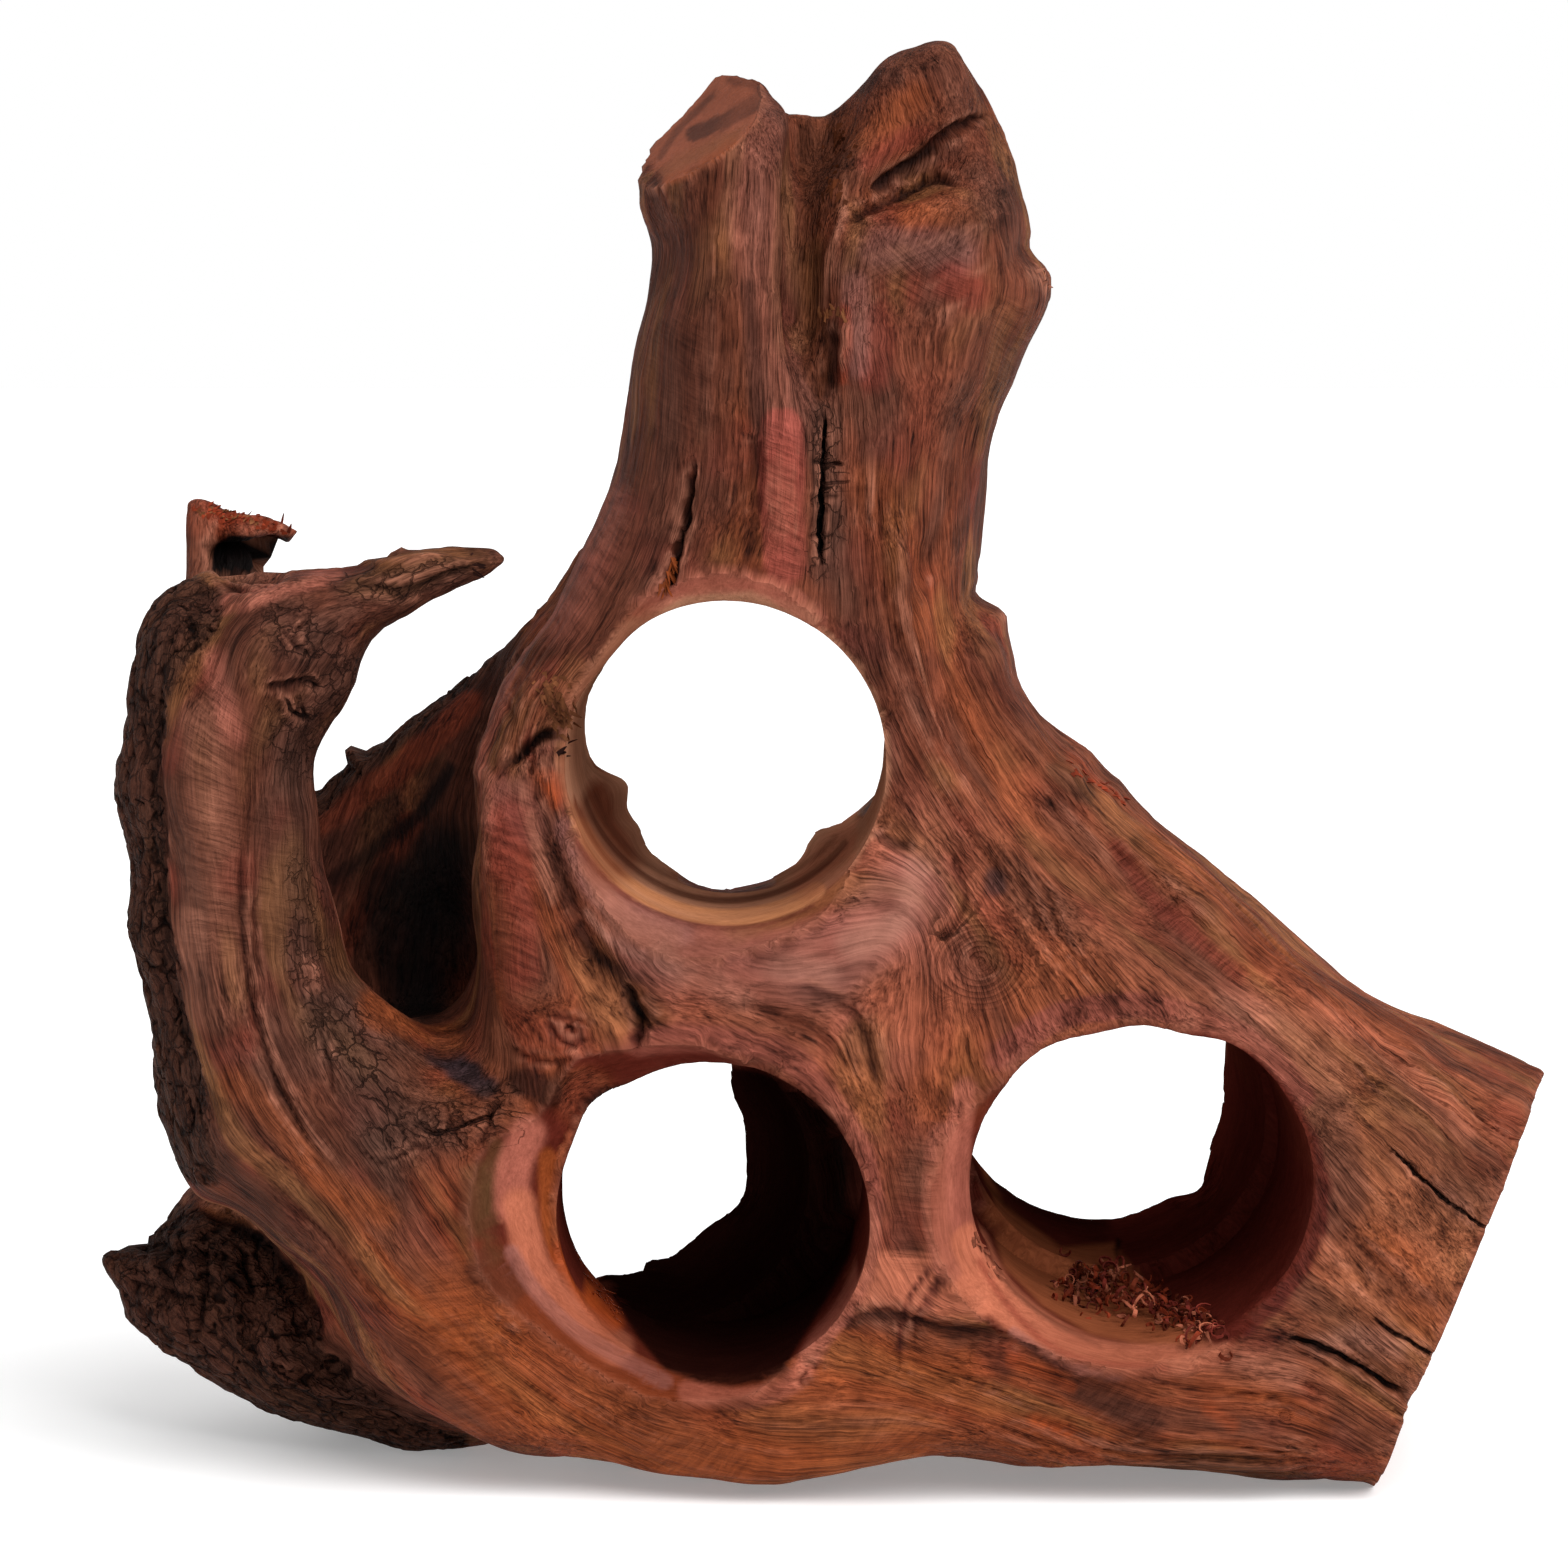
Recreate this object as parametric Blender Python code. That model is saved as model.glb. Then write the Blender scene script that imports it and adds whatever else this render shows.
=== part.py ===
"""Porous driftwood: a bored hardwood root, modelled at its real size.

The object is one grown piece of reddish hardwood: a stump that stands on its root
plate, with two fused stems at the top, a sawn limb at the right, and on the left a
horn-shaped root, a diagonal back root, a broken stub and a bark-covered root toe.
Three round holes go right through it.

The masses are inflated outlines and lofted limbs. They are fused by a voxel remesh,
softened, carved along their grain, thinned out and then sawn and bored.
Lengths below are in millimetres; MM turns them into Blender's metres.
X is to the right, Y goes away from the viewer and Z is up.
"""

import math

import bmesh
import bpy
import numpy as np
from mathutils import Matrix, Vector, geometry, noise

MM = 0.001

BORE_RADIUS = 32.5
FLARE = 24.0
GRID = 4.0
FUSE_VOXEL = 2.2
SMOOTH_ROUNDS = 5
SWELL_LONG = 21.0
SWELL_SHORT = 9.0
SWELL_HEIGHT = 1.3
TRIANGLES = 8600
ROUND_SIDES = 48
WOOD_COLOUR = (0.24, 0.075, 0.042, 1.0)
WOOD_ROUGHNESS = 0.75


# Helpers for points and paths

def clear_scene():
    for old in list(bpy.data.objects):
        bpy.data.objects.remove(old, do_unlink=True)


def smooth_path(points, spacing, closed):
    """Points of a Catmull-Rom curve through the given ones, about that far apart."""
    pts = np.array(points, float)
    count = len(pts)
    spans = count if closed else count - 1
    out = []
    for i in range(spans):
        if closed:
            a, b, c, d = (pts[(i + k) % count] for k in (-1, 0, 1, 2))
        else:
            a, b, c, d = (pts[min(max(i + k, 0), count - 1)] for k in (-1, 0, 1, 2))
        steps = max(1, round(float(np.linalg.norm(c - b)) / spacing))
        for t in np.arange(steps) / steps:
            out.append(
                0.5 * (2 * b + (c - a) * t + (2 * a - 5 * b + 4 * c - d) * t**2
                       + (3 * b - a - 3 * c + d) * t**3)
            )
    if not closed:
        out.append(pts[-1])
    return np.array(out)


def distance_to_path(where, path, closed):
    """Each point's distance to a run of straight segments, the side of the run it is on
    (1 for the right of its travel), and how far along it is (0 to 1)."""
    ends = np.vstack([path, path[:1]]) if closed else path
    lengths = np.linalg.norm(np.diff(ends, axis=0), axis=1)
    begins = np.concatenate([[0.0], np.cumsum(lengths)])
    best = np.full(len(where), 1e9)
    side = np.ones(len(where))
    along = np.zeros(len(where))
    for i, (a, b) in enumerate(zip(ends[:-1], ends[1:])):
        ab = b - a
        ap = where - a
        t = np.clip(ap @ ab / max(float(ab @ ab), 1e-9), 0, 1)
        d = np.linalg.norm(ap - t[:, None] * ab, axis=1)
        nearer = d < best
        best[nearer] = d[nearer]
        turn = ab[1] * ap[:, 0] - ab[0] * ap[:, 1]
        side[nearer] = np.where(turn[nearer] > 0, 1.0, -1.0)
        along[nearer] = (begins[i] + t[nearer] * lengths[i]) / begins[-1]
    return best, side, along


def blend_stations(where, stations):
    """Values at (x, z) places, each station's share falling with its distance."""
    places = np.array([s[:2] for s in stations], float)
    values = np.array([s[2:] for s in stations], float)
    squared = ((where[:, None, :] - places[None]) ** 2).sum(axis=2) + 9.0
    share = squared**-1.6
    return (share @ values) / share.sum(axis=1)[:, None]


# Masses

def mesh_object(name, points_mm, faces):
    mesh = bpy.data.meshes.new(name)
    mesh.from_pydata([Vector(p) * MM for p in points_mm], [], faces)
    mesh.update()
    made = bpy.data.objects.new(name, mesh)
    bpy.context.scene.collection.objects.link(made)
    return made


def inflated(name, outline, stations):
    """A closed body with this front outline (x, z). Each station is (x, z, front y,
    back y, width of the rounded edge), and the rest of the body blends between them."""
    rim = smooth_path(outline, 3.0, closed=True)
    low, high = rim.min(axis=0), rim.max(axis=0)
    xs = np.arange(low[0], high[0], GRID)
    zs = np.arange(low[1], high[1], GRID * math.sqrt(0.75))
    inner = np.array([(x + (k % 2) * GRID / 2, z) for k, z in enumerate(zs) for x in xs])
    inside = []
    for p in inner:
        crossing = 0
        for a, b in zip(rim, np.roll(rim, -1, axis=0)):
            if (a[1] > p[1]) != (b[1] > p[1]):
                if p[0] < a[0] + (p[1] - a[1]) / (b[1] - a[1]) * (b[0] - a[0]):
                    crossing += 1
        inside.append(crossing % 2 == 1)
    inner = inner[np.array(inside)]
    far = distance_to_path(inner, rim, closed=True)[0] > GRID / 2
    flat = np.vstack([rim, inner[far]])
    edges = [(i, (i + 1) % len(rim)) for i in range(len(rim))]
    filled = geometry.delaunay_2d_cdt([Vector(p) for p in flat], edges, [], 1, 1e-4)
    places = np.array([tuple(v) for v in filled[0]])
    depth = distance_to_path(places, rim, closed=True)[0]
    on_rim = depth < 1e-3
    front, back, width = blend_stations(places, stations).T
    swell = np.sqrt(1 - (1 - np.clip(depth / width, 0, 1)) ** 2)
    middle, half = (front + back) / 2, (back - front) / 2
    points = [(p[0], m - h * s, p[1]) for p, m, h, s in zip(places, middle, half, swell)]
    twin = {}
    for i, (p, m, h, s) in enumerate(zip(places, middle, half, swell)):
        if on_rim[i]:
            twin[i] = i
        else:
            twin[i] = len(points)
            points.append((p[0], m + h * s, p[1]))
    faces = []
    for a, b, c in filled[2]:
        ab, ac = places[b] - places[a], places[c] - places[a]
        if ab[0] * ac[1] - ab[1] * ac[0] < 0:
            b, c = c, b
        faces.append((a, b, c))
        faces.append((twin[a], twin[c], twin[b]))
    return mesh_object(name, points, faces)


def limb(name, stations, sides=20):
    """A lofted limb. Each station is (x, y, z, half width across, half depth), and its
    rings stand square to the spine, with half depth measured towards the viewer."""
    path = smooth_path(stations, 5.0, closed=False)
    spine = path[:, :3]
    runs = np.gradient(spine, axis=0)
    points, faces = [], []
    for centre, run, (wide, deep) in zip(spine, runs, path[:, 3:]):
        along = Vector(run).normalized()
        across = Vector((0, 1, 0)).cross(along)
        if across.length < 0.2:
            across = Vector((1, 0, 0))
        across.normalize()
        facing = along.cross(across).normalized()
        for k in range(sides):
            a = 2 * math.pi * k / sides
            points.append(
                Vector(centre) + across * (wide * math.cos(a)) + facing * (deep * math.sin(a))
            )
    for r in range(len(spine) - 1):
        for k in range(sides):
            a, b = r * sides + k, r * sides + (k + 1) % sides
            faces.append((a, b, b + sides, a + sides))
    faces.append(tuple(range(sides))[::-1])
    faces.append(tuple(range((len(spine) - 1) * sides, len(spine) * sides)))
    made = mesh_object(name, points, faces)
    shape = bmesh.new()
    shape.from_mesh(made.data)
    bmesh.ops.recalc_face_normals(shape, faces=shape.faces)
    shape.to_mesh(made.data)
    shape.free()
    return made


def stump():
    """The trunk with its two fused stems, the shoulder, the sawn limb and the base."""
    outline = [
        (-40, 262), (-38, 272), (-34, 285), (-26, 293), (-19, 293), (-12, 285), (-8.5, 281), (-5.5, 277),
        (-1, 280), (4, 284.5), (9, 288), (16, 293), (23, 296), (27.5, 294.5), (32, 288),
        (36, 280), (39.5, 270), (42.5, 260), (44, 251), (48, 248.5), (48, 243), (45.5, 237),
        (42, 228), (38, 221), (35.5, 213), (34, 205), (33, 195), (31.5, 185), (31, 180),
        (36, 178.5), (38.5, 174), (38.5, 166), (42, 159), (47, 153.5), (53, 150),
        (62, 142), (73, 132), (80, 127), (88, 118.5), (97, 110.5), (105, 104.5),
        (113, 98.5), (121, 94), (130, 90), (140, 84.5), (164, 72), (150, 30), (125, -4),
        (104, -2.6), (88, -1.2), (70, 0.8), (58, 1.4), (50, 0.5), (40, -0.5), (30, 3), (18, 3),
        (8, 1), (-6, -1), (-14, -1.8), (-30, -1.8), (-42, 0), (-52, 2), (-64, 3.5),
        (-76, 7.5), (-86, 13), (-96, 21), (-103, 31), (-110, 43), (-120, 55), (-130, 62),
        (-134, 74), (-128, 84), (-112, 88), (-96, 92), (-84, 92), (-76, 97), (-74, 110),
        (-73, 125), (-72, 140), (-71, 150), (-69, 158), (-63, 170), (-56, 181),
        (-51, 190), (-47, 199), (-44, 208), (-42, 218), (-40.5, 228), (-39.5, 238),
        (-37.5, 246), (-37, 254),
    ]
    stations = [
        (-24, 268, -39, 12, 17), (-22, 225, -41, 20, 19), (24, 278, -19, 20, 18),
        (24, 250, -27, 26, 20), (22, 215, -33, 28, 20), (-10, 195, -43, 32, 20),
        (-60, 156, -42, 4, 12), (-62, 120, -50, 22, 16), (36, 166, -36, 26, 14),
        (24, 150, -44, 40, 26), (0, 108, -54, 56, 30), (55, 128, -42, 42, 30),
        (100, 92, -53, 50, 34), (135, 55, -52, 48, 36), (18, 62, -63, 72, 26),
        (0, 14, -61, 64, 9), (70, 14, -59, 60, 9), (108, 20, -57, 52, 11),
        (-72, 60, -60, 60, 24), (-70, 20, -56, 46, 12), (-112, 66, -52, 22, 18),
        (50, 104, -55, 56, 32), (98, 66, -58, 56, 30), (-35, 100, -55, 54, 26),
    ]
    return inflated("stump", outline, stations)


def horn():
    """The left root, which rises beside the trunk and curls over it to a point."""
    outline = [
        (-130, 57), (-134, 66), (-137, 78), (-138.5, 88), (-140, 97), (-141.5, 107),
        (-143, 116), (-143, 128), (-144.5, 137), (-143.5, 147), (-142, 154), (-142.5, 163),
        (-141, 171), (-138, 179), (-132, 185.5), (-125, 188), (-112, 187.5), (-100, 189),
        (-92, 191), (-88, 193), (-78, 193), (-68, 193.5), (-63, 190.5), (-70, 186.5),
        (-77, 182), (-86, 177.5), (-91, 173), (-96.5, 164), (-100.5, 156), (-103.5, 149),
        (-103.5, 142), (-101.5, 132), (-100.5, 120), (-98.5, 108), (-92, 100), (-82, 93),
        (-74, 74), (-80, 52), (-94, 40), (-108, 44), (-120, 54),
    ]
    stations = [
        (-120, 60, -54, -6, 20), (-110, 80, -56, -6, 22), (-122, 110, -55, -10, 22),
        (-124, 140, -54, -10, 21), (-122, 168, -53, -12, 20), (-100, 177, -50, -18, 15),
        (-80, 187, -46, -24, 8), (-68, 190, -43, -29, 5), (-90, 60, -58, 0, 24),
    ]
    return inflated("horn", outline, stations)


def back_wall():
    """The diagonal back root and the wall that closes the pocket behind the horn."""
    outline = [
        (-48, 192), (-58, 181), (-66, 173), (-74, 165.5), (-83, 158.5), (-91, 151.5),
        (-97, 148), (-102, 145), (-106, 139), (-116, 134), (-124, 128), (-130, 112),
        (-131, 90), (-130, 62), (-118, 40), (-90, 34), (-60, 40), (-38, 70), (-34, 120),
        (-36, 165),
    ]
    stations = [
        (-58, 178, -4, 20, 9), (-80, 152, 6, 30, 12), (-105, 132, 14, 38, 12),
        (-118, 100, 14, 40, 16), (-88, 105, 10, 30, 22), (-70, 130, 2, 26, 18),
        (-100, 60, 0, 46, 20), (-60, 70, 0, 54, 24),
    ]
    return inflated("back_wall", outline, stations)


def root_toe():
    """The bark-covered toe at the lower left, which reaches backwards along the floor."""
    outline = [
        (-114, 62), (-128, 56), (-135, 54.5), (-141, 51), (-146, 45), (-152, 43.5),
        (-154, 38), (-151, 32), (-147, 25), (-139, 19.5), (-131, 12.5), (-122, 7),
        (-112, 3), (-100, 0), (-90, -2), (-78, -2), (-64, 2), (-56, 26), (-66, 48),
        (-92, 60),
    ]
    stations = [
        (-146, 38, -6, 26, 11), (-128, 34, -12, 40, 16), (-105, 24, -20, 50, 16),
        (-84, 20, -20, 56, 13), (-112, 48, -10, 46, 16),
    ]
    return inflated("root_toe", outline, stations)


def stub():
    """What is left of a hollow root behind the horn, broken off to a ragged edge."""
    outline = [
        (-134, 60), (-136, 90), (-136.5, 130), (-136.5, 160), (-136.5, 184), (-138, 195),
        (-137, 200), (-133.5, 201.5), (-130, 199), (-127, 198), (-123, 198.5),
        (-119, 196), (-115.5, 194), (-110.5, 191.5), (-115, 187.5), (-118, 182),
        (-118, 165), (-114, 145), (-106, 125), (-96, 100), (-94, 60),
    ]
    stations = [
        (-128, 190, 16, 36, 7), (-126, 160, 16, 40, 9), (-120, 120, 14, 46, 14),
        (-112, 80, 6, 54, 18),
    ]
    return inflated("stub", outline, stations)


def limbs():
    """Rounded roots that swell out of the back, and the pillar left of the top hole."""
    return [
        limb("back_root_left", [
            (-26, 8, 222, 9, 8), (-31, 11, 188, 9, 8), (-42, 17, 162, 10, 10),
            (-50, 32, 139, 17, 22), (-60, 40, 114, 20, 24), (-84, 50, 82, 22, 22), (-108, 52, 44, 22, 19),
            (-120, 46, 24, 14, 12),
        ]),
        limb("back_root_middle", [
            (14, 20, 250, 12, 10), (16, 28, 200, 15, 14), (21, 38, 150, 18, 20),
            (20, 56, 110, 22, 22), (6, 68, 66, 26, 22), (-10, 68, 26, 30, 20),
            (-18, 64, 6, 24, 14),
        ]),
        limb("back_root_right", [
            (18, 24, 165, 12, 12), (44, 38, 118, 19, 19), (84, 48, 74, 27, 20),
            (122, 42, 36, 28, 20), (150, 36, 12, 22, 16),
        ]),
        limb("heel", [
            (96, 34, 60, 20, 20), (104, 50, 24, 22, 20), (106, 56, 2, 18, 14),
        ]),
        limb("pillar", [
            (-42, -14, 194, 5, 11), (-50, -20, 175, 6, 14), (-60, -26, 156, 8, 17),
            (-62.5, -30, 138, 9, 18), (-60, -36, 118, 11, 18), (-54, -42, 98, 15, 18),
        ]),
    ]


# Fusing and carving

def fuse(pieces, name):
    """One skin round all the pieces, with their creases softened."""
    for piece in pieces:
        piece.select_set(True)
    bpy.context.view_layer.objects.active = pieces[0]
    bpy.ops.object.join()
    wood = bpy.context.view_layer.objects.active
    wood.name = wood.data.name = name
    skin = wood.modifiers.new("Fuse", "REMESH")
    skin.mode = "VOXEL"
    skin.voxel_size = FUSE_VOXEL * MM
    soften = wood.modifiers.new("Soften", "SMOOTH")
    soften.factor = 0.5
    soften.iterations = SMOOTH_ROUNDS
    for modifier in ("Fuse", "Soften"):
        bpy.ops.object.modifier_apply(modifier=modifier)
    return wood


# Each mark is (face, width to the left, width to the right, depth, [(x, z), ...]). The
# face is -1 for the front and 1 for the back. A positive depth cuts a valley and a
# negative one raises a ridge. Left and right are as its line travels, seen from the front.
MARKS = [
    (-1, 1.6, 4.5, 15.0, [(-4, 226), (-5.5, 238), (-5, 262), (-4.5, 288)]),
    (-1, 8.5, 1.6, 8.0, [(-4.5, 288), (-5.5, 262), (-5.5, 246), (-4, 230)]),
    (-1, 2.6, 2.6, 4.5, [(-2, 230), (0.5, 218), (0.5, 200), (0, 184)]),
    (-1, 3.5, 3.5, -3.0, [(9, 274), (5, 256), (3, 243), (8, 226), (8, 206)]),
    (-1, 4.5, 4.5, -2.5, [(-11, 278), (-11, 250), (-10, 215), (-9, 188)]),
    (-1, 3.0, 3.0, 2.5, [(-17, 262), (-17, 240), (-16, 222), (-17, 200)]),
    (-1, 3.5, 3.5, -2.0, [(-23, 266), (-23, 240), (-22, 215), (-22, 192)]),
    (-1, 2.6, 2.6, 4.0, [(-26.5, 212), (-28.5, 200), (-31, 187)]),
    (-1, 1.8, 4.5, 5.0, [(4, 261), (12, 266.5), (22, 274), (31, 280.5), (37, 283)]),
    (-1, 3.5, 1.8, 4.0, [(1, 257), (10, 262), (19, 266.5), (24, 267), (28, 264)]),
    (-1, 6.0, 6.0, -2.5, [(9, 282), (20, 288), (28, 289)]),
    (-1, 7.0, 6.0, -3.5, [(6, 228), (9, 246), (20, 256), (36, 260)]),
    (-1, 6.0, 6.0, -2.5, [(12, 200), (12, 220), (20, 236), (32, 244)]),
    (-1, 5.0, 5.0, 2.5, [(22, 182), (24, 205), (32, 222)]),
    (-1, 5.0, 5.0, -3.5, [(12, 204), (16, 178), (22, 158), (30, 138), (44, 122), (52, 108)]),
    (-1, 3.0, 4.5, 4.0, [(27, 184), (26, 170), (28, 158), (38, 144), (50, 132), (66, 118)]),
    (-1, 5.0, 5.0, -2.5, [(36, 172), (40, 154), (56, 138), (74, 121), (92, 104), (112, 88)]),
    (-1, 2.5, 4.0, 3.5, [(60, 126), (70, 116), (80, 109), (92, 101)]),
    (-1, 3.0, 3.0, 2.5, [(42, 128), (46, 116), (52, 104), (58, 98)]),
    (-1, 3.0, 3.0, 2.2, [(36, 126), (40, 114), (46, 104)]),
    (-1, 4.0, 4.0, 5.0, [(-64, 149), (-60, 153), (-53, 155)]),
    (-1, 2.5, 5.0, 6.0, [(-56, 144), (-55, 130), (-51, 117), (-45, 107), (-38, 100)]),
    (-1, 6.0, 4.0, -2.5, [(-60, 132), (-58, 118), (-54, 106)]),
    (-1, 5.0, 6.0, -3.5, [(-46, 124), (-38, 113), (-24, 106), (-8, 104), (8, 109), (20, 120)]),
    (-1, 5.0, 5.0, -2.5, [(-60, 93), (-53, 95), (-47, 91)]),
    (-1, 4.0, 5.0, 4.5, [(-78, 99), (-70, 88), (-61, 82), (-55, 81)]),
    (-1, 4.0, 4.0, 2.0, [(-30, 101), (-10, 98), (8, 92), (16, 78)]),
    (-1, 5.0, 5.0, 2.5, [(18, 90), (15, 70), (15, 52), (18, 38)]),
    (-1, 6.0, 6.0, -3.0, [(-100, 174), (-118, 168), (-124, 150), (-122, 120), (-116, 95)]),
    (-1, 2.0, 4.0, 2.5, [(-133, 178), (-134, 150), (-133, 120), (-130, 95), (-124, 72)]),
    (-1, 3.5, 3.5, 2.0, [(-112, 150), (-110, 125), (-108, 105), (-104, 88), (-92, 72)]),
    (-1, 5.0, 5.0, -2.5, [(-124, 90), (-116, 70), (-104, 55), (-84, 44), (-66, 30)]),
    (-1, 4.0, 4.0, 2.0, [(-118, 60), (-104, 42), (-84, 26), (-60, 16), (-34, 12)]),
    (-1, 5.0, 5.0, -2.0, [(-60, 22), (-30, 15), (10, 18), (40, 16), (80, 12), (110, 10)]),
    (-1, 3.5, 3.5, 2.0, [(10, 32), (30, 30), (52, 24), (80, 20), (112, 14)]),
    (-1, 2.0, 3.5, 2.5, [(92, 38), (104, 31), (120, 23)]),
    (-1, 2.2, 2.2, 1.6, [(108, 76), (120, 67), (136, 57)]),
    (-1, 2.0, 4.0, 4.0, [(-134, 54), (-124, 49), (-114, 40), (-106, 26), (-98, 16)]),
    (-1, 5.0, 5.0, 7.0, [(-126, 190), (-124, 178), (-123, 160)]),
    (1, 6.0, 6.0, 5.0, [(0, 285), (-2, 250), (-2, 205), (0, 180)]),
    (1, 7.0, 7.0, 5.0, [(-10, 175), (-14, 140), (-26, 110), (-40, 85), (-56, 50), (-60, 15)]),
    (1, 7.0, 7.0, 5.0, [(38, 150), (40, 110), (36, 78), (34, 45), (38, 12)]),
    (1, 5.0, 5.0, 4.0, [(60, 134), (84, 104), (110, 82), (140, 66)]),
    (1, 5.0, 5.0, -3.0, [(30, 240), (26, 210), (22, 180)]),
    (1, 6.0, 6.0, 4.0, [(-80, 118), (-96, 98), (-106, 80)]),
    (1, 5.0, 5.0, 4.0, [(60, 40), (74, 26), (82, 8)]),
]


def carve(wood):
    """Presses the valleys in and raises the ridges, with a slow swell over all of it."""
    mesh = wood.data
    count = len(mesh.vertices)
    places = np.empty(count * 3)
    normals = np.empty(count * 3)
    mesh.vertices.foreach_get("co", places)
    mesh.vertices.foreach_get("normal", normals)
    places = places.reshape(-1, 3) / MM
    normals = normals.reshape(-1, 3)
    inwards = np.zeros(count)
    for face, left, right, depth, line in MARKS:
        path = smooth_path(line, 4.0, closed=False)
        away, side, along = distance_to_path(places[:, [0, 2]], path, closed=False)
        width = np.where(side > 0, right, left)
        facing = np.clip(normals[:, 1] * face * 2.0, 0, 1)
        ends = np.clip(np.minimum(along, 1 - along) / 0.12, 0.25, 1)
        near = places[:, 1] * face > -25
        inwards += depth * np.exp(-((away / width) ** 2)) * facing * ends * near
    swell = np.array([noise.noise(Vector(p) / SWELL_LONG) for p in places])
    swell += 0.5 * np.array([noise.noise(Vector(p) / SWELL_SHORT) for p in places])
    places += normals * (SWELL_HEIGHT * swell - inwards)[:, None]
    mesh.vertices.foreach_set("co", (places * MM).ravel())
    mesh.update()


def thin_out(wood):
    """Fewer triangles where the surface is flat."""
    now = sum(len(p.vertices) - 2 for p in wood.data.polygons)
    fewer = wood.modifiers.new("Thin", "DECIMATE")
    fewer.ratio = TRIANGLES / now
    bpy.ops.object.modifier_apply(modifier="Thin")


# Sawing and boring

def cut(wood, cutter):
    cutter.hide_render = True
    cutter.display_type = "WIRE"
    saw = wood.modifiers.new("Cut", "BOOLEAN")
    saw.operation = "DIFFERENCE"
    saw.solver = "EXACT"
    saw.object = cutter
    bpy.context.view_layer.objects.active = wood
    bpy.ops.object.modifier_apply(modifier="Cut")
    bpy.data.objects.remove(cutter, do_unlink=True)


def cone_along(name, start, end, radius, end_radius, oval):
    """A closed round cutter from one point to another, widened across by the oval."""
    start, end = Vector(start), Vector(end)
    run = end - start
    turn = run.to_track_quat("Z", "Y").to_matrix().to_4x4()
    shape = bmesh.new()
    bmesh.ops.create_cone(
        shape, cap_ends=True, segments=ROUND_SIDES, radius1=radius * MM,
        radius2=end_radius * MM, depth=run.length * MM,
    )
    shape.transform(Matrix.Translation((start + end) / 2 * MM) @ turn)
    widen = Matrix.Diagonal((oval, 1, 1, 1))
    centre = Matrix.Translation(((start.x + end.x) / 2 * MM, 0, 0))
    shape.transform(centre @ widen @ centre.inverted())
    mesh = bpy.data.meshes.new(name)
    shape.to_mesh(mesh)
    shape.free()
    made = bpy.data.objects.new(name, mesh)
    bpy.context.scene.collection.objects.link(made)
    return made


def slab(name, point, normal, size=(400, 400, 400)):
    """A block with one face centred on this point, filling the side that the normal
    points to. The size is its two widths along the face and its height."""
    turn = Vector(normal).to_track_quat("Z", "Y").to_matrix().to_4x4()
    shape = bmesh.new()
    bmesh.ops.create_cube(shape, size=MM)
    shape.transform(Matrix.Diagonal((*size, 1)))
    middle = Vector(point) + Vector(normal).normalized() * (size[2] / 2)
    shape.transform(Matrix.Translation(middle * MM) @ turn)
    mesh = bpy.data.meshes.new(name)
    shape.to_mesh(mesh)
    shape.free()
    made = bpy.data.objects.new(name, mesh)
    bpy.context.scene.collection.objects.link(made)
    return made


# Each bore is a run of round cutters, (start, end, start radius, end radius, oval). The
# wide mouths are the hand-worked flares. The lower bores were drilled from both sides.
BORES = {
    "top_bore": [
        ((-21.6, -120, 149.2), (-18.4, 120, 147.8), BORE_RADIUS, BORE_RADIUS, 1.0),
        ((-22.0, -69, 152.4), (-20.6, -44, 148.8), BORE_RADIUS + FLARE, BORE_RADIUS - 1, 1.0),
    ],
    "left_bore": [
        ((-22.6, -110, 57.8), (-23.6, 6, 57.4), BORE_RADIUS - 1, BORE_RADIUS - 1, 1.0),
        ((-33.4, -4, 57.2), (-55.5, 120, 55.0), BORE_RADIUS - 1, BORE_RADIUS - 1, 1.0),
        ((-30.0, -78, 59.4), (-27.4, -52, 58.6), BORE_RADIUS + FLARE - 1, BORE_RADIUS - 3, 1.0),
    ],
    "right_bore": [
        ((65.0, -110, 63.2), (61.0, 2, 66.8), BORE_RADIUS + 0.3, BORE_RADIUS + 0.3, 1.05),
        ((62.0, -12, 69.2), (56.0, 120, 73.0), BORE_RADIUS - 1, BORE_RADIUS - 1, 1.0),
        ((61.5, -80, 64.0), (62.5, -55, 64.6), BORE_RADIUS + FLARE, BORE_RADIUS - 1, 1.02),
    ],
}


def settle(wood):
    """Stands the wood on the floor with its middle over the origin."""
    low = [min(v.co[i] for v in wood.data.vertices) for i in range(3)]
    high = [max(v.co[i] for v in wood.data.vertices) for i in range(3)]
    middle = Vector(((low[0] + high[0]) / 2, (low[1] + high[1]) / 2, low[2]))
    wood.data.transform(Matrix.Translation(-middle))


def wood_material():
    material = bpy.data.materials.new("red_driftwood")
    material.use_nodes = True
    surface = material.node_tree.nodes["Principled BSDF"]
    surface.inputs["Base Color"].default_value = WOOD_COLOUR
    surface.inputs["Roughness"].default_value = WOOD_ROUGHNESS
    surface.inputs["Metallic"].default_value = 0.0
    return material


def build():
    clear_scene()
    wood = fuse([stump(), horn(), back_wall(), root_toe(), stub(), *limbs()], "driftwood")
    carve(wood)
    thin_out(wood)
    for name, runs in BORES.items():
        for start, end, radius, end_radius, oval in runs:
            cut(wood, cone_along(name, start, end, radius, end_radius, oval))
    cut(wood, slab("stem_saw", (-27, -12, 276.2), (-0.55, -0.28, 0.79), (44, 80, 60)))
    cut(wood, slab("right_saw", (149.6, 0, 79), (0.918, -0.12, -0.377)))
    cut(wood, slab("floor", (0, 0, 0), (0, 0, -1)))
    settle(wood)
    wood.data.materials.clear()
    wood.data.materials.append(wood_material())


build()
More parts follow.
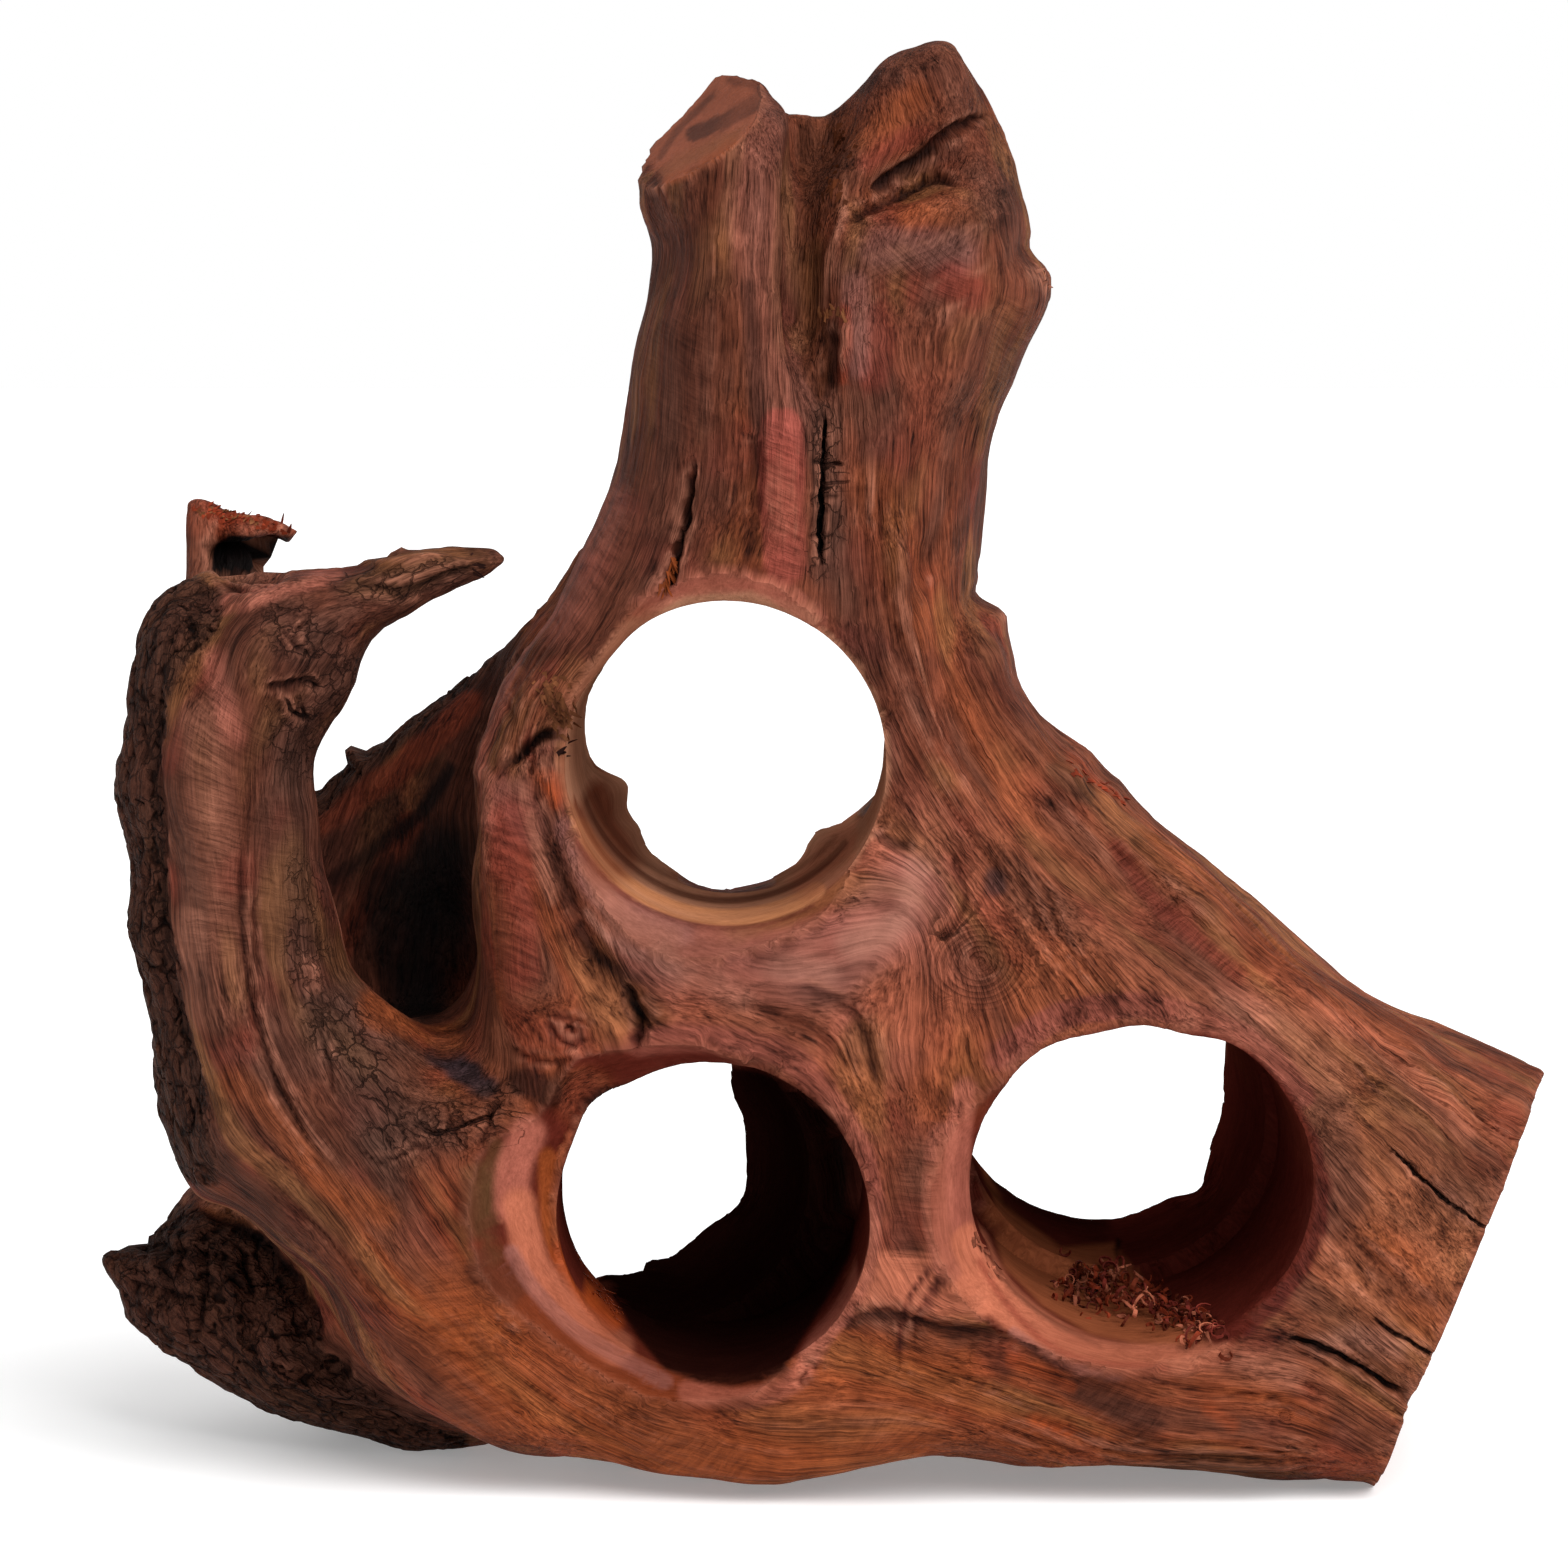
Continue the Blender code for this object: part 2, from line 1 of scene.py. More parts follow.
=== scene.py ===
"""Looks of the porous driftwood: a bored, weathered hardwood root on a pale floor.

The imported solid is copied, given a fine skin and carved with its grain, folds, cracks,
bark and sanded rims. Lengths are in millimetres until a mesh is written in metres.
"""

import math

import bmesh
import bpy
import numpy as np
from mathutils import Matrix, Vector, noise
from mathutils.bvhtree import BVHTree


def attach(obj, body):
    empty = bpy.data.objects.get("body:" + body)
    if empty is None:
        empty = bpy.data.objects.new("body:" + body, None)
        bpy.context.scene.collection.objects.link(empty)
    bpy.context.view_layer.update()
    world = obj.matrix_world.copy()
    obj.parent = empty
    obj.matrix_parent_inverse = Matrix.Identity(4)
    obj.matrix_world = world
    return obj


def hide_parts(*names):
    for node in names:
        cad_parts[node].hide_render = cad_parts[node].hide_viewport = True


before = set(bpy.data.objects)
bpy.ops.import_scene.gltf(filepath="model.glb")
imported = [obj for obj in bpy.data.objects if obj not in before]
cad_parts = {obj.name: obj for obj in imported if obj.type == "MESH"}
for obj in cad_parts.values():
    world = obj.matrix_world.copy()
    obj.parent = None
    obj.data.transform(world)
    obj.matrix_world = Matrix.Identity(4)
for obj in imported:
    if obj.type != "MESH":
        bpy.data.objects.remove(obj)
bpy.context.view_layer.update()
bpy.ops.object.select_all(action="DESELECT")

# Camera. It stands straight in front, a little above the middle of the wood. The wood's
# marks are placed in sight millimetres: right and up of look_point, on the plane through
# it that faces the camera. sight_right, sight_up and to_camera are that plane's directions.
MM = 0.001
look_point = np.array([-7.78, -13.46, 140.7])
camera_distance = 1200.0
camera_rise = math.radians(5.0)
sight_width = 328.0
film_width = 36.0
sight_right = np.array([1.0, 0.0, 0.0])
to_camera = np.array([0.0, -math.cos(camera_rise), math.sin(camera_rise)])
sight_up = np.array([0.0, math.sin(camera_rise), math.cos(camera_rise)])
eye = look_point + to_camera * camera_distance

camera = bpy.data.objects.new("camera", bpy.data.cameras.new("camera"))
bpy.context.collection.objects.link(camera)
camera.data.sensor_width = film_width
camera.data.lens = film_width * camera_distance / sight_width
camera.location = Vector(eye) * MM
camera.rotation_euler = Vector(-to_camera).to_track_quat("-Z", "Y").to_euler()
bpy.context.scene.camera = camera


# The wood, first its skin. It is one grown piece of hardwood, so its skin is the packed
# solid's own surface, made again as an even net of squares, then finer where it shows.
SKIN = 3.0
SAME_POINT = 0.01


def soften(places, pairs, rounds, amount):
    """Each point moves towards the mean of its neighbours by its own amount."""
    count = len(places)
    near = np.bincount(pairs.ravel(), minlength=count)[:, None]
    for _ in range(rounds):
        total = np.empty_like(places)
        for axis in range(places.shape[1]):
            total[:, axis] = np.bincount(
                pairs[:, 0], places[pairs[:, 1], axis], count
            ) + np.bincount(pairs[:, 1], places[pairs[:, 0], axis], count)
        places = places + (total / np.maximum(near, 1) - places) * amount
    return places


def read_skin(mesh):
    """Places in millimetres, outward directions and neighbour pairs of a mesh's points."""
    places = np.empty(len(mesh.vertices) * 3)
    outward = np.empty(len(mesh.vertices) * 3)
    pairs = np.empty(len(mesh.edges) * 2, np.int32)
    mesh.vertices.foreach_get("co", places)
    mesh.vertices.foreach_get("normal", outward)
    mesh.edges.foreach_get("vertices", pairs)
    return places.reshape(-1, 3) / MM, outward.reshape(-1, 3), pairs.reshape(-1, 2)


def write_skin(mesh, places):
    mesh.vertices.foreach_set("co", (places * MM).ravel())
    mesh.update()


def in_sight(places):
    """Sight millimetres of each place: right and up of the look point."""
    away = places - look_point
    scale = camera_distance / (camera_distance - away @ to_camera)
    return np.stack([away[:, 0] * scale, away @ sight_up * scale], axis=1)


def step(value, low, high):
    """0 below low, 1 above high, and smooth between."""
    t = np.clip((value - low) / (high - low), 0.0, 1.0)
    return t * t * (3.0 - 2.0 * t)


def smooth_path(points, spacing=2.0):
    """Points of a smooth curve through the given ones."""
    pts = np.array(points, float)
    last = len(pts) - 1
    out = []
    for i in range(last):
        a, b, c, d = (pts[min(max(i + k, 0), last)] for k in (-1, 0, 1, 2))
        steps = max(1, round(float(np.linalg.norm(c - b)) / spacing))
        for t in np.arange(steps) / steps:
            out.append(
                0.5 * (2 * b + (c - a) * t + (2 * a - 5 * b + 4 * c - d) * t**2
                       + (3 * b - a - 3 * c + d) * t**3)
            )
    return np.array(out + [pts[-1]])


def beside_path(spots, path):
    """Distance to a path, signed side of it, share of its length, and its direction."""
    best = np.full(len(spots), 1e9)
    side = np.zeros(len(spots))
    share = np.zeros(len(spots))
    heading = np.zeros((len(spots), 2))
    runs = np.linalg.norm(np.diff(path, axis=0), axis=1)
    before = np.concatenate([[0.0], np.cumsum(runs)])
    for k, (a, b) in enumerate(zip(path[:-1], path[1:])):
        line = (b - a) / max(runs[k], 1e-6)
        away = spots - a
        t = np.clip(away @ line, 0.0, runs[k])
        off = away - t[:, None] * line
        gap = np.sqrt((off**2).sum(1))
        nearer = gap < best
        best = np.where(nearer, gap, best)
        turn = line[0] * off[:, 1] - line[1] * off[:, 0]
        side = np.where(nearer, np.sign(turn) * gap, side)
        share = np.where(nearer, (before[k] + t) / before[-1], share)
        heading[nearer] = line
    return best, side, share, heading


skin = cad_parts["driftwood"].data.copy()
wood = bpy.data.objects.new("wood", skin)
bpy.context.collection.objects.link(wood)
bpy.context.view_layer.objects.active = wood
wood.select_set(True)
shell = bmesh.new()
shell.from_mesh(skin)
bmesh.ops.remove_doubles(shell, verts=shell.verts, dist=SAME_POINT * MM)
shell.to_mesh(skin)
shell.free()
net = wood.modifiers.new("Net", "REMESH")
net.mode = "VOXEL"
net.voxel_size = SKIN * MM
bpy.ops.object.modifier_apply(modifier="Net")
skin = wood.data
places, outward, pairs = read_skin(skin)
places = soften(places, pairs, 3, 0.5)
write_skin(skin, places)


# The holes and saw cuts. A hole saw and a rasp left round walls and flared mouths, and a
# saw left two flat ends. The skin is drawn exactly onto them, so that they stay crisp.
# Each part of a hole is (start, end, radius there, radius here, how oval it is), and each
# cut is (middle, way it faces, how far it reaches). Both are measured from drawn_from.
BORE = 32.5
drawn_from = np.array([-0.92, 13.46, 0.0])
hole_parts = [
    ((-21.6, -120, 149.2), (-18.4, 120, 147.8), BORE, BORE, 1.0),
    ((-22, -69, 152.4), (-20.6, -44, 148.8), BORE + 24, BORE - 1, 1.0),
    ((-22.6, -110, 57.8), (-23.6, 6, 57.4), BORE - 1, BORE - 1, 1.0),
    ((-33.4, -4, 57.2), (-55.5, 120, 55.0), BORE - 1, BORE - 1, 1.0),
    ((-30, -78, 59.4), (-27.4, -52, 58.6), BORE + 23, BORE - 3, 1.0),
    ((65, -110, 63.2), (61, 2, 66.8), BORE + 0.3, BORE + 0.3, 1.05),
    ((62, -12, 69.2), (56, 120, 73), BORE - 1, BORE - 1, 1.0),
    ((61.5, -80, 64), (62.5, -55, 64.6), BORE + 24, BORE - 1, 1.02),
]
saw_cuts = [
    ((-27, -12, 276.2), (-0.55, -0.28, 0.79), 44.0),
    ((149.6, 0, 79), (0.918, -0.12, -0.377), 120.0),
]


def hole_walls(places):
    """How far each place is outside the nearest hole wall, and the way out of the hole."""
    outside = np.full(len(places), 1e9)
    way_out = np.zeros((len(places), 3))
    for start, end, radius, end_radius, oval in hole_parts:
        a = np.array(start, float) - drawn_from
        b = np.array(end, float) - drawn_from
        reach = float(np.linalg.norm(b - a))
        line = (b - a) / reach
        away = places - a
        t = away @ line
        off = away - t[:, None] * line
        off[:, 0] /= oval
        radial = np.sqrt((off**2).sum(1))
        lean = math.atan2(radius - end_radius, reach)
        wall = radius + (end_radius - radius) * np.clip(t / reach, 0, 1)
        gap = (radial - wall) * math.cos(lean)
        within = (t > 0) & (t < reach)
        gap = np.where(within, gap, 1e9)
        nearer = gap < outside
        outside = np.where(nearer, gap, outside)
        out = off / np.maximum(radial, 1e-6)[:, None] * math.cos(lean)
        out = out + line * math.sin(lean)
        way_out[nearer] = out[nearer]
    return outside, way_out


def draw_to_holes(places, outward, reach):
    """Points inside a hole, or close to its wall and facing into it, go onto the wall."""
    for _ in range(3):
        outside, way_out = hole_walls(places)
        faces_in = -(outward * way_out).sum(1)
        take = (outside < 0) | ((outside < reach) & (faces_in > 0.55))
        places = places + np.where(take, -outside, 0.0)[:, None] * way_out
    return places


def draw_to_cuts(places, outward, reach):
    """Points at a saw cut go onto its plane."""
    for middle, normal, width in saw_cuts:
        n = np.array(normal) / np.linalg.norm(normal)
        m = np.array(middle, float) - drawn_from
        above = (places - m) @ n
        near = np.linalg.norm(places - m, axis=1) < width
        take = near & ((above > 0) | ((above > -reach) & (outward @ n > 0.6)))
        places = places - np.where(take, above, 0.0)[:, None] * n
    return places


places, outward, pairs = read_skin(skin)
places = draw_to_holes(places, outward, 2.4)
places = draw_to_cuts(places, outward, 2.0)
write_skin(skin, places)


# The grain. Fibres run from the sawn limb and the belly up the horn and the two stems,
# round the holes and knots. across and along are lengths measured over the skin, square
# to the fibres and with them, which the carving and the finish both follow.
grain_lines = [
    [(158, -62), (129, -47), (114, -37), (87, -12), (66, 5), (51, 18), (42, 30), (40, 47),
     (42, 68), (47, 87), (51, 101), (45, 126), (35, 151)],
    [(150, -93), (129, -77), (108, -56), (93, -45), (77, -35), (62, -22), (47, -8),
     (35, 13), (27, 34), (24, 59), (24, 76), (20, 93), (24, 110), (37, 126)],
    [(137, -125), (125, -106), (118, -85)],
    [(129, -137), (108, -129), (77, -127), (45, -118), (24, -114)],
    [(16, -129), (-5, -135), (-38, -129), (-64, -114), (-80, -102), (-95, -83), (-108, -66),
     (-118, -41), (-122, -14), (-122, 13), (-116, 34), (-101, 41), (-80, 46), (-62, 49)],
    [(24, -114), (24, -95), (22, -77), (24, -58), (31, -37), (31, -16), (27, 5)],
    [(20, -87), (16, -66), (3, -54), (-9, -47), (-22, -37), (-34, -24), (-45, -14),
     (-51, 1), (-53, 18), (-47, 30), (-38, 47), (-30, 72), (-26, 101), (-22, 122)],
    [(24, -24), (10, -31), (-7, -35), (-22, -31), (-34, -22)],
    [(-59, -87), (-64, -66), (-59, -45), (-57, -24), (-62, -3), (-59, 9), (-51, 26)],
    [(-1, 41), (1, 64), (-1, 91), (-3, 122)],
    [(14, 38), (14, 64), (13, 80)],
    [(62, -54), (54, -41), (45, -24), (37, -12)],
    [(-80, -135), (-101, -127), (-122, -114), (-137, -100)],
    [(-95, -108), (-112, -95), (-126, -90)],
    [(-114, 45), (-115, 59)],
    [(-95, -24), (-80, -3), (-64, 18), (-47, 38)],
    [(-101, -35), (-103, -14), (-103, 13), (-95, 30), (-80, 38)],
]


def fibre_way(places):
    """Direction of the fibres at each place, in the plane that faces the camera."""
    spots = in_sight(places)
    total = np.zeros((len(places), 2))
    for line in grain_lines:
        gap, _, _, heading = beside_path(spots, smooth_path(line, 4.0))
        total += heading / ((gap**2 + 60.0) ** 2)[:, None]
    return total / np.maximum(np.linalg.norm(total, axis=1), 1e-12)[:, None]


def measure_over(places, pairs, way):
    """A length for each point that grows along the given way over the skin.

    It is the length whose steps between neighbours fit the way best, found by conjugate
    gradients, three times over, as the skin's folds ask for it to stretch or shrink.
    """
    first, second = pairs[:, 0], pairs[:, 1]
    count = len(places)
    rise = ((places[second] - places[first]) * (way[first] + way[second])).sum(1) / 2
    degree = np.bincount(pairs.ravel(), minlength=count).astype(float)
    degree[degree == 0] = 1.0

    def gathered(on_pairs):
        return np.bincount(second, on_pairs, count) - np.bincount(first, on_pairs, count)

    value = places @ way.mean(0)
    stretch = np.ones(count)
    for rounds in (700, 300, 300):
        wanted = rise * (stretch[first] + stretch[second]) / 2
        left = gathered(wanted) - gathered(value[second] - value[first])
        ahead = left / degree
        push = ahead.copy()
        strength = left @ ahead
        for _ in range(rounds):
            pull = gathered(push[second] - push[first])
            share = strength / (push @ pull)
            value += share * push
            left -= share * pull
            ahead = left / degree
            fresh = left @ ahead
            push = ahead + push * (fresh / strength)
            strength = fresh
        found = (value[second] - value[first]) * rise
        top = np.bincount(first, found, count) + np.bincount(second, found, count)
        square = rise**2
        base = np.bincount(first, square, count) + np.bincount(second, square, count)
        stretch = np.clip(top / np.maximum(base, 1e-6), 0.5, 1.8)
        stretch = soften(stretch[:, None], pairs, 6, 0.7)[:, 0]
    return value


places, outward, pairs = read_skin(skin)
way = soften(fibre_way(places), pairs, 2, 0.6)
way_up = way[:, :1] * sight_right + way[:, 1:] * sight_up
way_over = way[:, 1:] * sight_right - way[:, :1] * sight_up
along = measure_over(places, pairs, way_up)
across = measure_over(places, pairs, way_over)
grain = skin.attributes.new("grain", "FLOAT_VECTOR", "POINT")
grain.data.foreach_set(
    "vector", np.stack([across, along, places @ to_camera], axis=1).ravel()
)


# What shows from the front gets a net three times finer, for the carving.
FACES_FRONT = 0.04


def skin_tree(mesh, places):
    """Tells where a straight line meets a skin."""
    faces = [tuple(face.vertices) for face in mesh.polygons]
    return BVHTree.FromPolygons([tuple(place) for place in places], faces)


tree = skin_tree(skin, places)
bpy.ops.object.mode_set(mode="EDIT")
bpy.ops.mesh.select_all(action="DESELECT")
bpy.ops.object.mode_set(mode="OBJECT")
seen = np.zeros(len(skin.vertices))
for face in skin.polygons:
    middle = np.array(face.center) / MM
    if Vector(face.normal).dot(Vector(to_camera)) < FACES_FRONT:
        continue
    away = Vector(eye - middle).normalized()
    hit = tree.ray_cast(Vector(middle) + away * 0.5, away)
    if hit[0] is None:
        face.select = True
        seen[list(face.vertices)] = 1.0
shown = skin.attributes.new("seen", "FLOAT", "POINT")
shown.data.foreach_set("value", soften(seen[:, None], pairs, 2, 0.6)[:, 0])
bpy.ops.object.mode_set(mode="EDIT")
bpy.ops.mesh.select_mode(type="FACE")
bpy.ops.mesh.subdivide(number_cuts=2, smoothness=0.0)
bpy.ops.object.mode_set(mode="OBJECT")
skin = wood.data
places, outward, pairs = read_skin(skin)
places = soften(places, pairs, 4, 0.5)
places = draw_to_holes(places, outward, 2.0)
places = draw_to_cuts(places, outward, 1.6)
write_skin(skin, places)


# A few outlines are drawn over to their real place: (from, by how much, how far round,
# which side: -1 the back only, 0 both, 1 the front only), in sight millimetres.
pulls = [
    ((-12, 147), (-0.5, 2.8), 8, 0), ((-30, 126), (0.6, -0.6), 6, 0), ((-29, 112), (1.3, 0), 9, 0),
    ((4.5, 137.5), (0, 2.8), 6, 0), ((44, 140), (1.5, 0.4), 13, 0), ((33, 153), (0.6, 1.2), 8, 0),
    ((24, 148), (-0.6, 0.9), 8, 0), ((52.5, 111.5), (-2.0, 0.2), 4, 0), ((50, 91), (-1.3, 0), 9, 0),
    ((42, 38.5), (-2.4, 0.3), 4, 0), ((46, 35), (1.0, 1.0), 3, 0), ((-66, 48), (6.0, 0.3), 9, 0),
    ((-76, 45.5), (1.0, 0.8), 7, 0), ((-94, 20), (1.6, -0.6), 10, 1), ((-89, 10), (0.9, 0), 7, 1),
    ((-137, -2), (-1.7, 0), 14, 0), ((-135, -31), (-1.9, 0), 9, 0), ((-132, -50), (0.8, 0), 7, 0),
    ((-131, 32), (-1.0, 0.4), 9, 0), ((-132, -90), (0.5, -3.0), 7, 0),
    ((-139, -95), (1.0, -1.2), 5, 0),
    ((-128, -117), (-1.2, -0.8), 10, 0), ((157.5, -61.5), (1.0, 0.5), 3, 0),
    ((131, -128), (-0.9, 0), 12, 0),
    ((-123, 58), (-0.3, 1.2), 5, 0), ((-108, 55), (1.6, 1.4), 5, 0),
    ((-40, 28), (0.9, -0.9), 11, 0), ((-12, -20.5), (0, -1.8), 12, -1),
    ((19, -1), (1.8, -0.4), 8, -1),
    ((-37, -2), (5.0, 2.6), 6, -1), ((-33, -10), (2.0, 1.0), 5, -1), ((8, -12), (-2.2, 2.4), 6, -1),
    ((66, -51), (0, -1.8), 11, 1), ((84, -50), (0.2, -2.2), 10, 1), ((-41, -66), (-1.6, 1.4), 8, 0),
    ((-10, -64), (-2.6, -0.4), 7, -1), ((-36, -105), (0, 3.6), 7, -1),
    ((-28, -105), (-1.6, 3.2), 6, -1),
    ((90, -60), (-1.4, -0.4), 8, -1), ((84, -81), (2.0, -2.8), 7, -1),
    ((-12, -84), (2.0, -1.6), 8, -1),
    ((-104, 52.5), (3.5, 0.6), 4, 0), ((-127, -88), (0.6, -1.6), 5, 0),
    ((-134, -95), (2.0, -1.4), 3, 0),
    ((-141, -100), (-1.6, 0.6), 4, 0), ((-137, -112), (-1.0, -1.0), 6, 0),
    ((-120, -128), (-0.6, -1.0), 8, 0),
    ((-82, 38), (0.6, -1.3), 7, 0), ((46, 26), (0.8, 0.4), 6, 0), ((61, 3), (0.8, 0.8), 4, 0),
    ((70, -1), (0.6, 0.8), 4, 0),
]


def pull_over(places, rows):
    """Draw the places over in the picture plane, fading out with distance."""
    spots = in_sight(places)
    depth = places @ to_camera
    moved = places.copy()
    for (x, z), (right, up), reach, side in rows:
        gap = np.hypot(spots[:, 0] - x, spots[:, 1] - z) / reach
        share = np.exp(-1.6 * gap * gap) * (gap < 1.8)
        if side < 0:
            share = share * step(-depth, -6.0, 4.0)
        if side > 0:
            share = share * step(depth, 0.0, 8.0)
        moved += share[:, None] * (sight_right * right + sight_up * up)
    return moved


places = pull_over(places, pulls)
write_skin(skin, places)


# The weathered relief. Sand and water wore the soft wood between the fibres, so flutes
# and ridges of several widths follow the grain, fading out on sanded and sawn faces.
def read_values(mesh, name, size):
    kind = "vector" if size == 3 else "value"
    values = np.empty(len(mesh.vertices) * size)
    mesh.attributes[name].data.foreach_get(kind, values)
    return values.reshape(-1, size)


def ripple(where, widths, seed):
    """Smooth noise from -1 to 1 at each place, with its own width along each axis."""
    spots = where / np.array(widths) + seed * 17.3
    return np.array([noise.noise(spot) for spot in spots.tolist()])


def patches(rows, spots, spacing, full, none, torn_edge=0.0):
    """The strongest of some (strength, half width, line) patches at each spot."""
    strongest = np.zeros(len(spots))
    for strength, half, line in rows:
        gap, _, _, _ = beside_path(spots, smooth_path(line, spacing))
        share = 1 - step(gap + torn_edge, half * full, half * none)
        strongest = np.maximum(strongest, strength * share)
    return strongest


places, outward, pairs = read_skin(skin)
spots = in_sight(places)
fibres = read_values(skin, "grain", 3)
seen = read_values(skin, "seen", 1)[:, 0]
in_view = step(seen, 0.2, 0.6)
outside, way_out = hole_walls(places)
faces_in = -(outward * way_out).sum(1)
walls = step(-outside, -0.9, -0.2) * step(faces_in, 0.35, 0.7)
sawn = []
for middle, normal, width in saw_cuts:
    n = np.array(normal) / np.linalg.norm(normal)
    m = np.array(middle, float) - drawn_from
    on_plane = step((places - m) @ n, -0.6, -0.1) * step(outward @ n, 0.6, 0.9)
    sawn.append(on_plane * (np.linalg.norm(places - m, axis=1) < width))
stem_end, limb_end = sawn
cuts = np.maximum(stem_end, limb_end)
smoothed = np.maximum(soften(walls[:, None], pairs, 3, 0.5)[:, 0], cuts)
# Deep furrows run in patches: (strength, half width, [sight places]).
furrowed = [
    (1.0, 14, [(-60, -118), (-30, -134), (10, -136), (60, -134), (104, -136)]),
    (0.9, 20, [(118, -62), (136, -84), (126, -118)]), (0.8, 12, [(52, 8), (80, -22), (112, -56)]),
    (0.8, 10, [(24, 60), (26, 40), (36, 8), (46, -14)]),
    (0.35, 12, [(-10, -44), (14, -54), (30, -72)]),
    (0.7, 10, [(-56, 30), (-55, -10), (-50, -46)]),
    (0.8, 10, [(-110, -52), (-98, -84), (-72, -110)]),
    (0.5, 6, [(-101, 8), (-104, -40)]),
]
least_furrows = 0.22
furrows = np.maximum(least_furrows, patches(furrowed, spots, 4.0, 0.6, 1.5))
furrows *= 0.55 + 0.45 * step(ripple(fibres, (22.0, 60.0, 22.0), 9), -0.3, 0.3)
relief = 0.7 * ripple(fibres, (9.0, 60.0, 9.0), 1)
relief += 1.0 * ripple(places, (17.0, 17.0, 17.0), 4)
relief -= 1.0 * (1 - np.abs(ripple(fibres, (6.5, 55.0, 6.5), 2))) ** 5 * furrows
relief -= 0.6 * (1 - np.abs(ripple(fibres, (3.2, 28.0, 3.2), 3))) ** 4 * furrows * seen
relief += 0.25 * ripple(places, (6.0, 6.0, 6.0), 10)
lift = relief * (1 - 0.94 * smoothed)

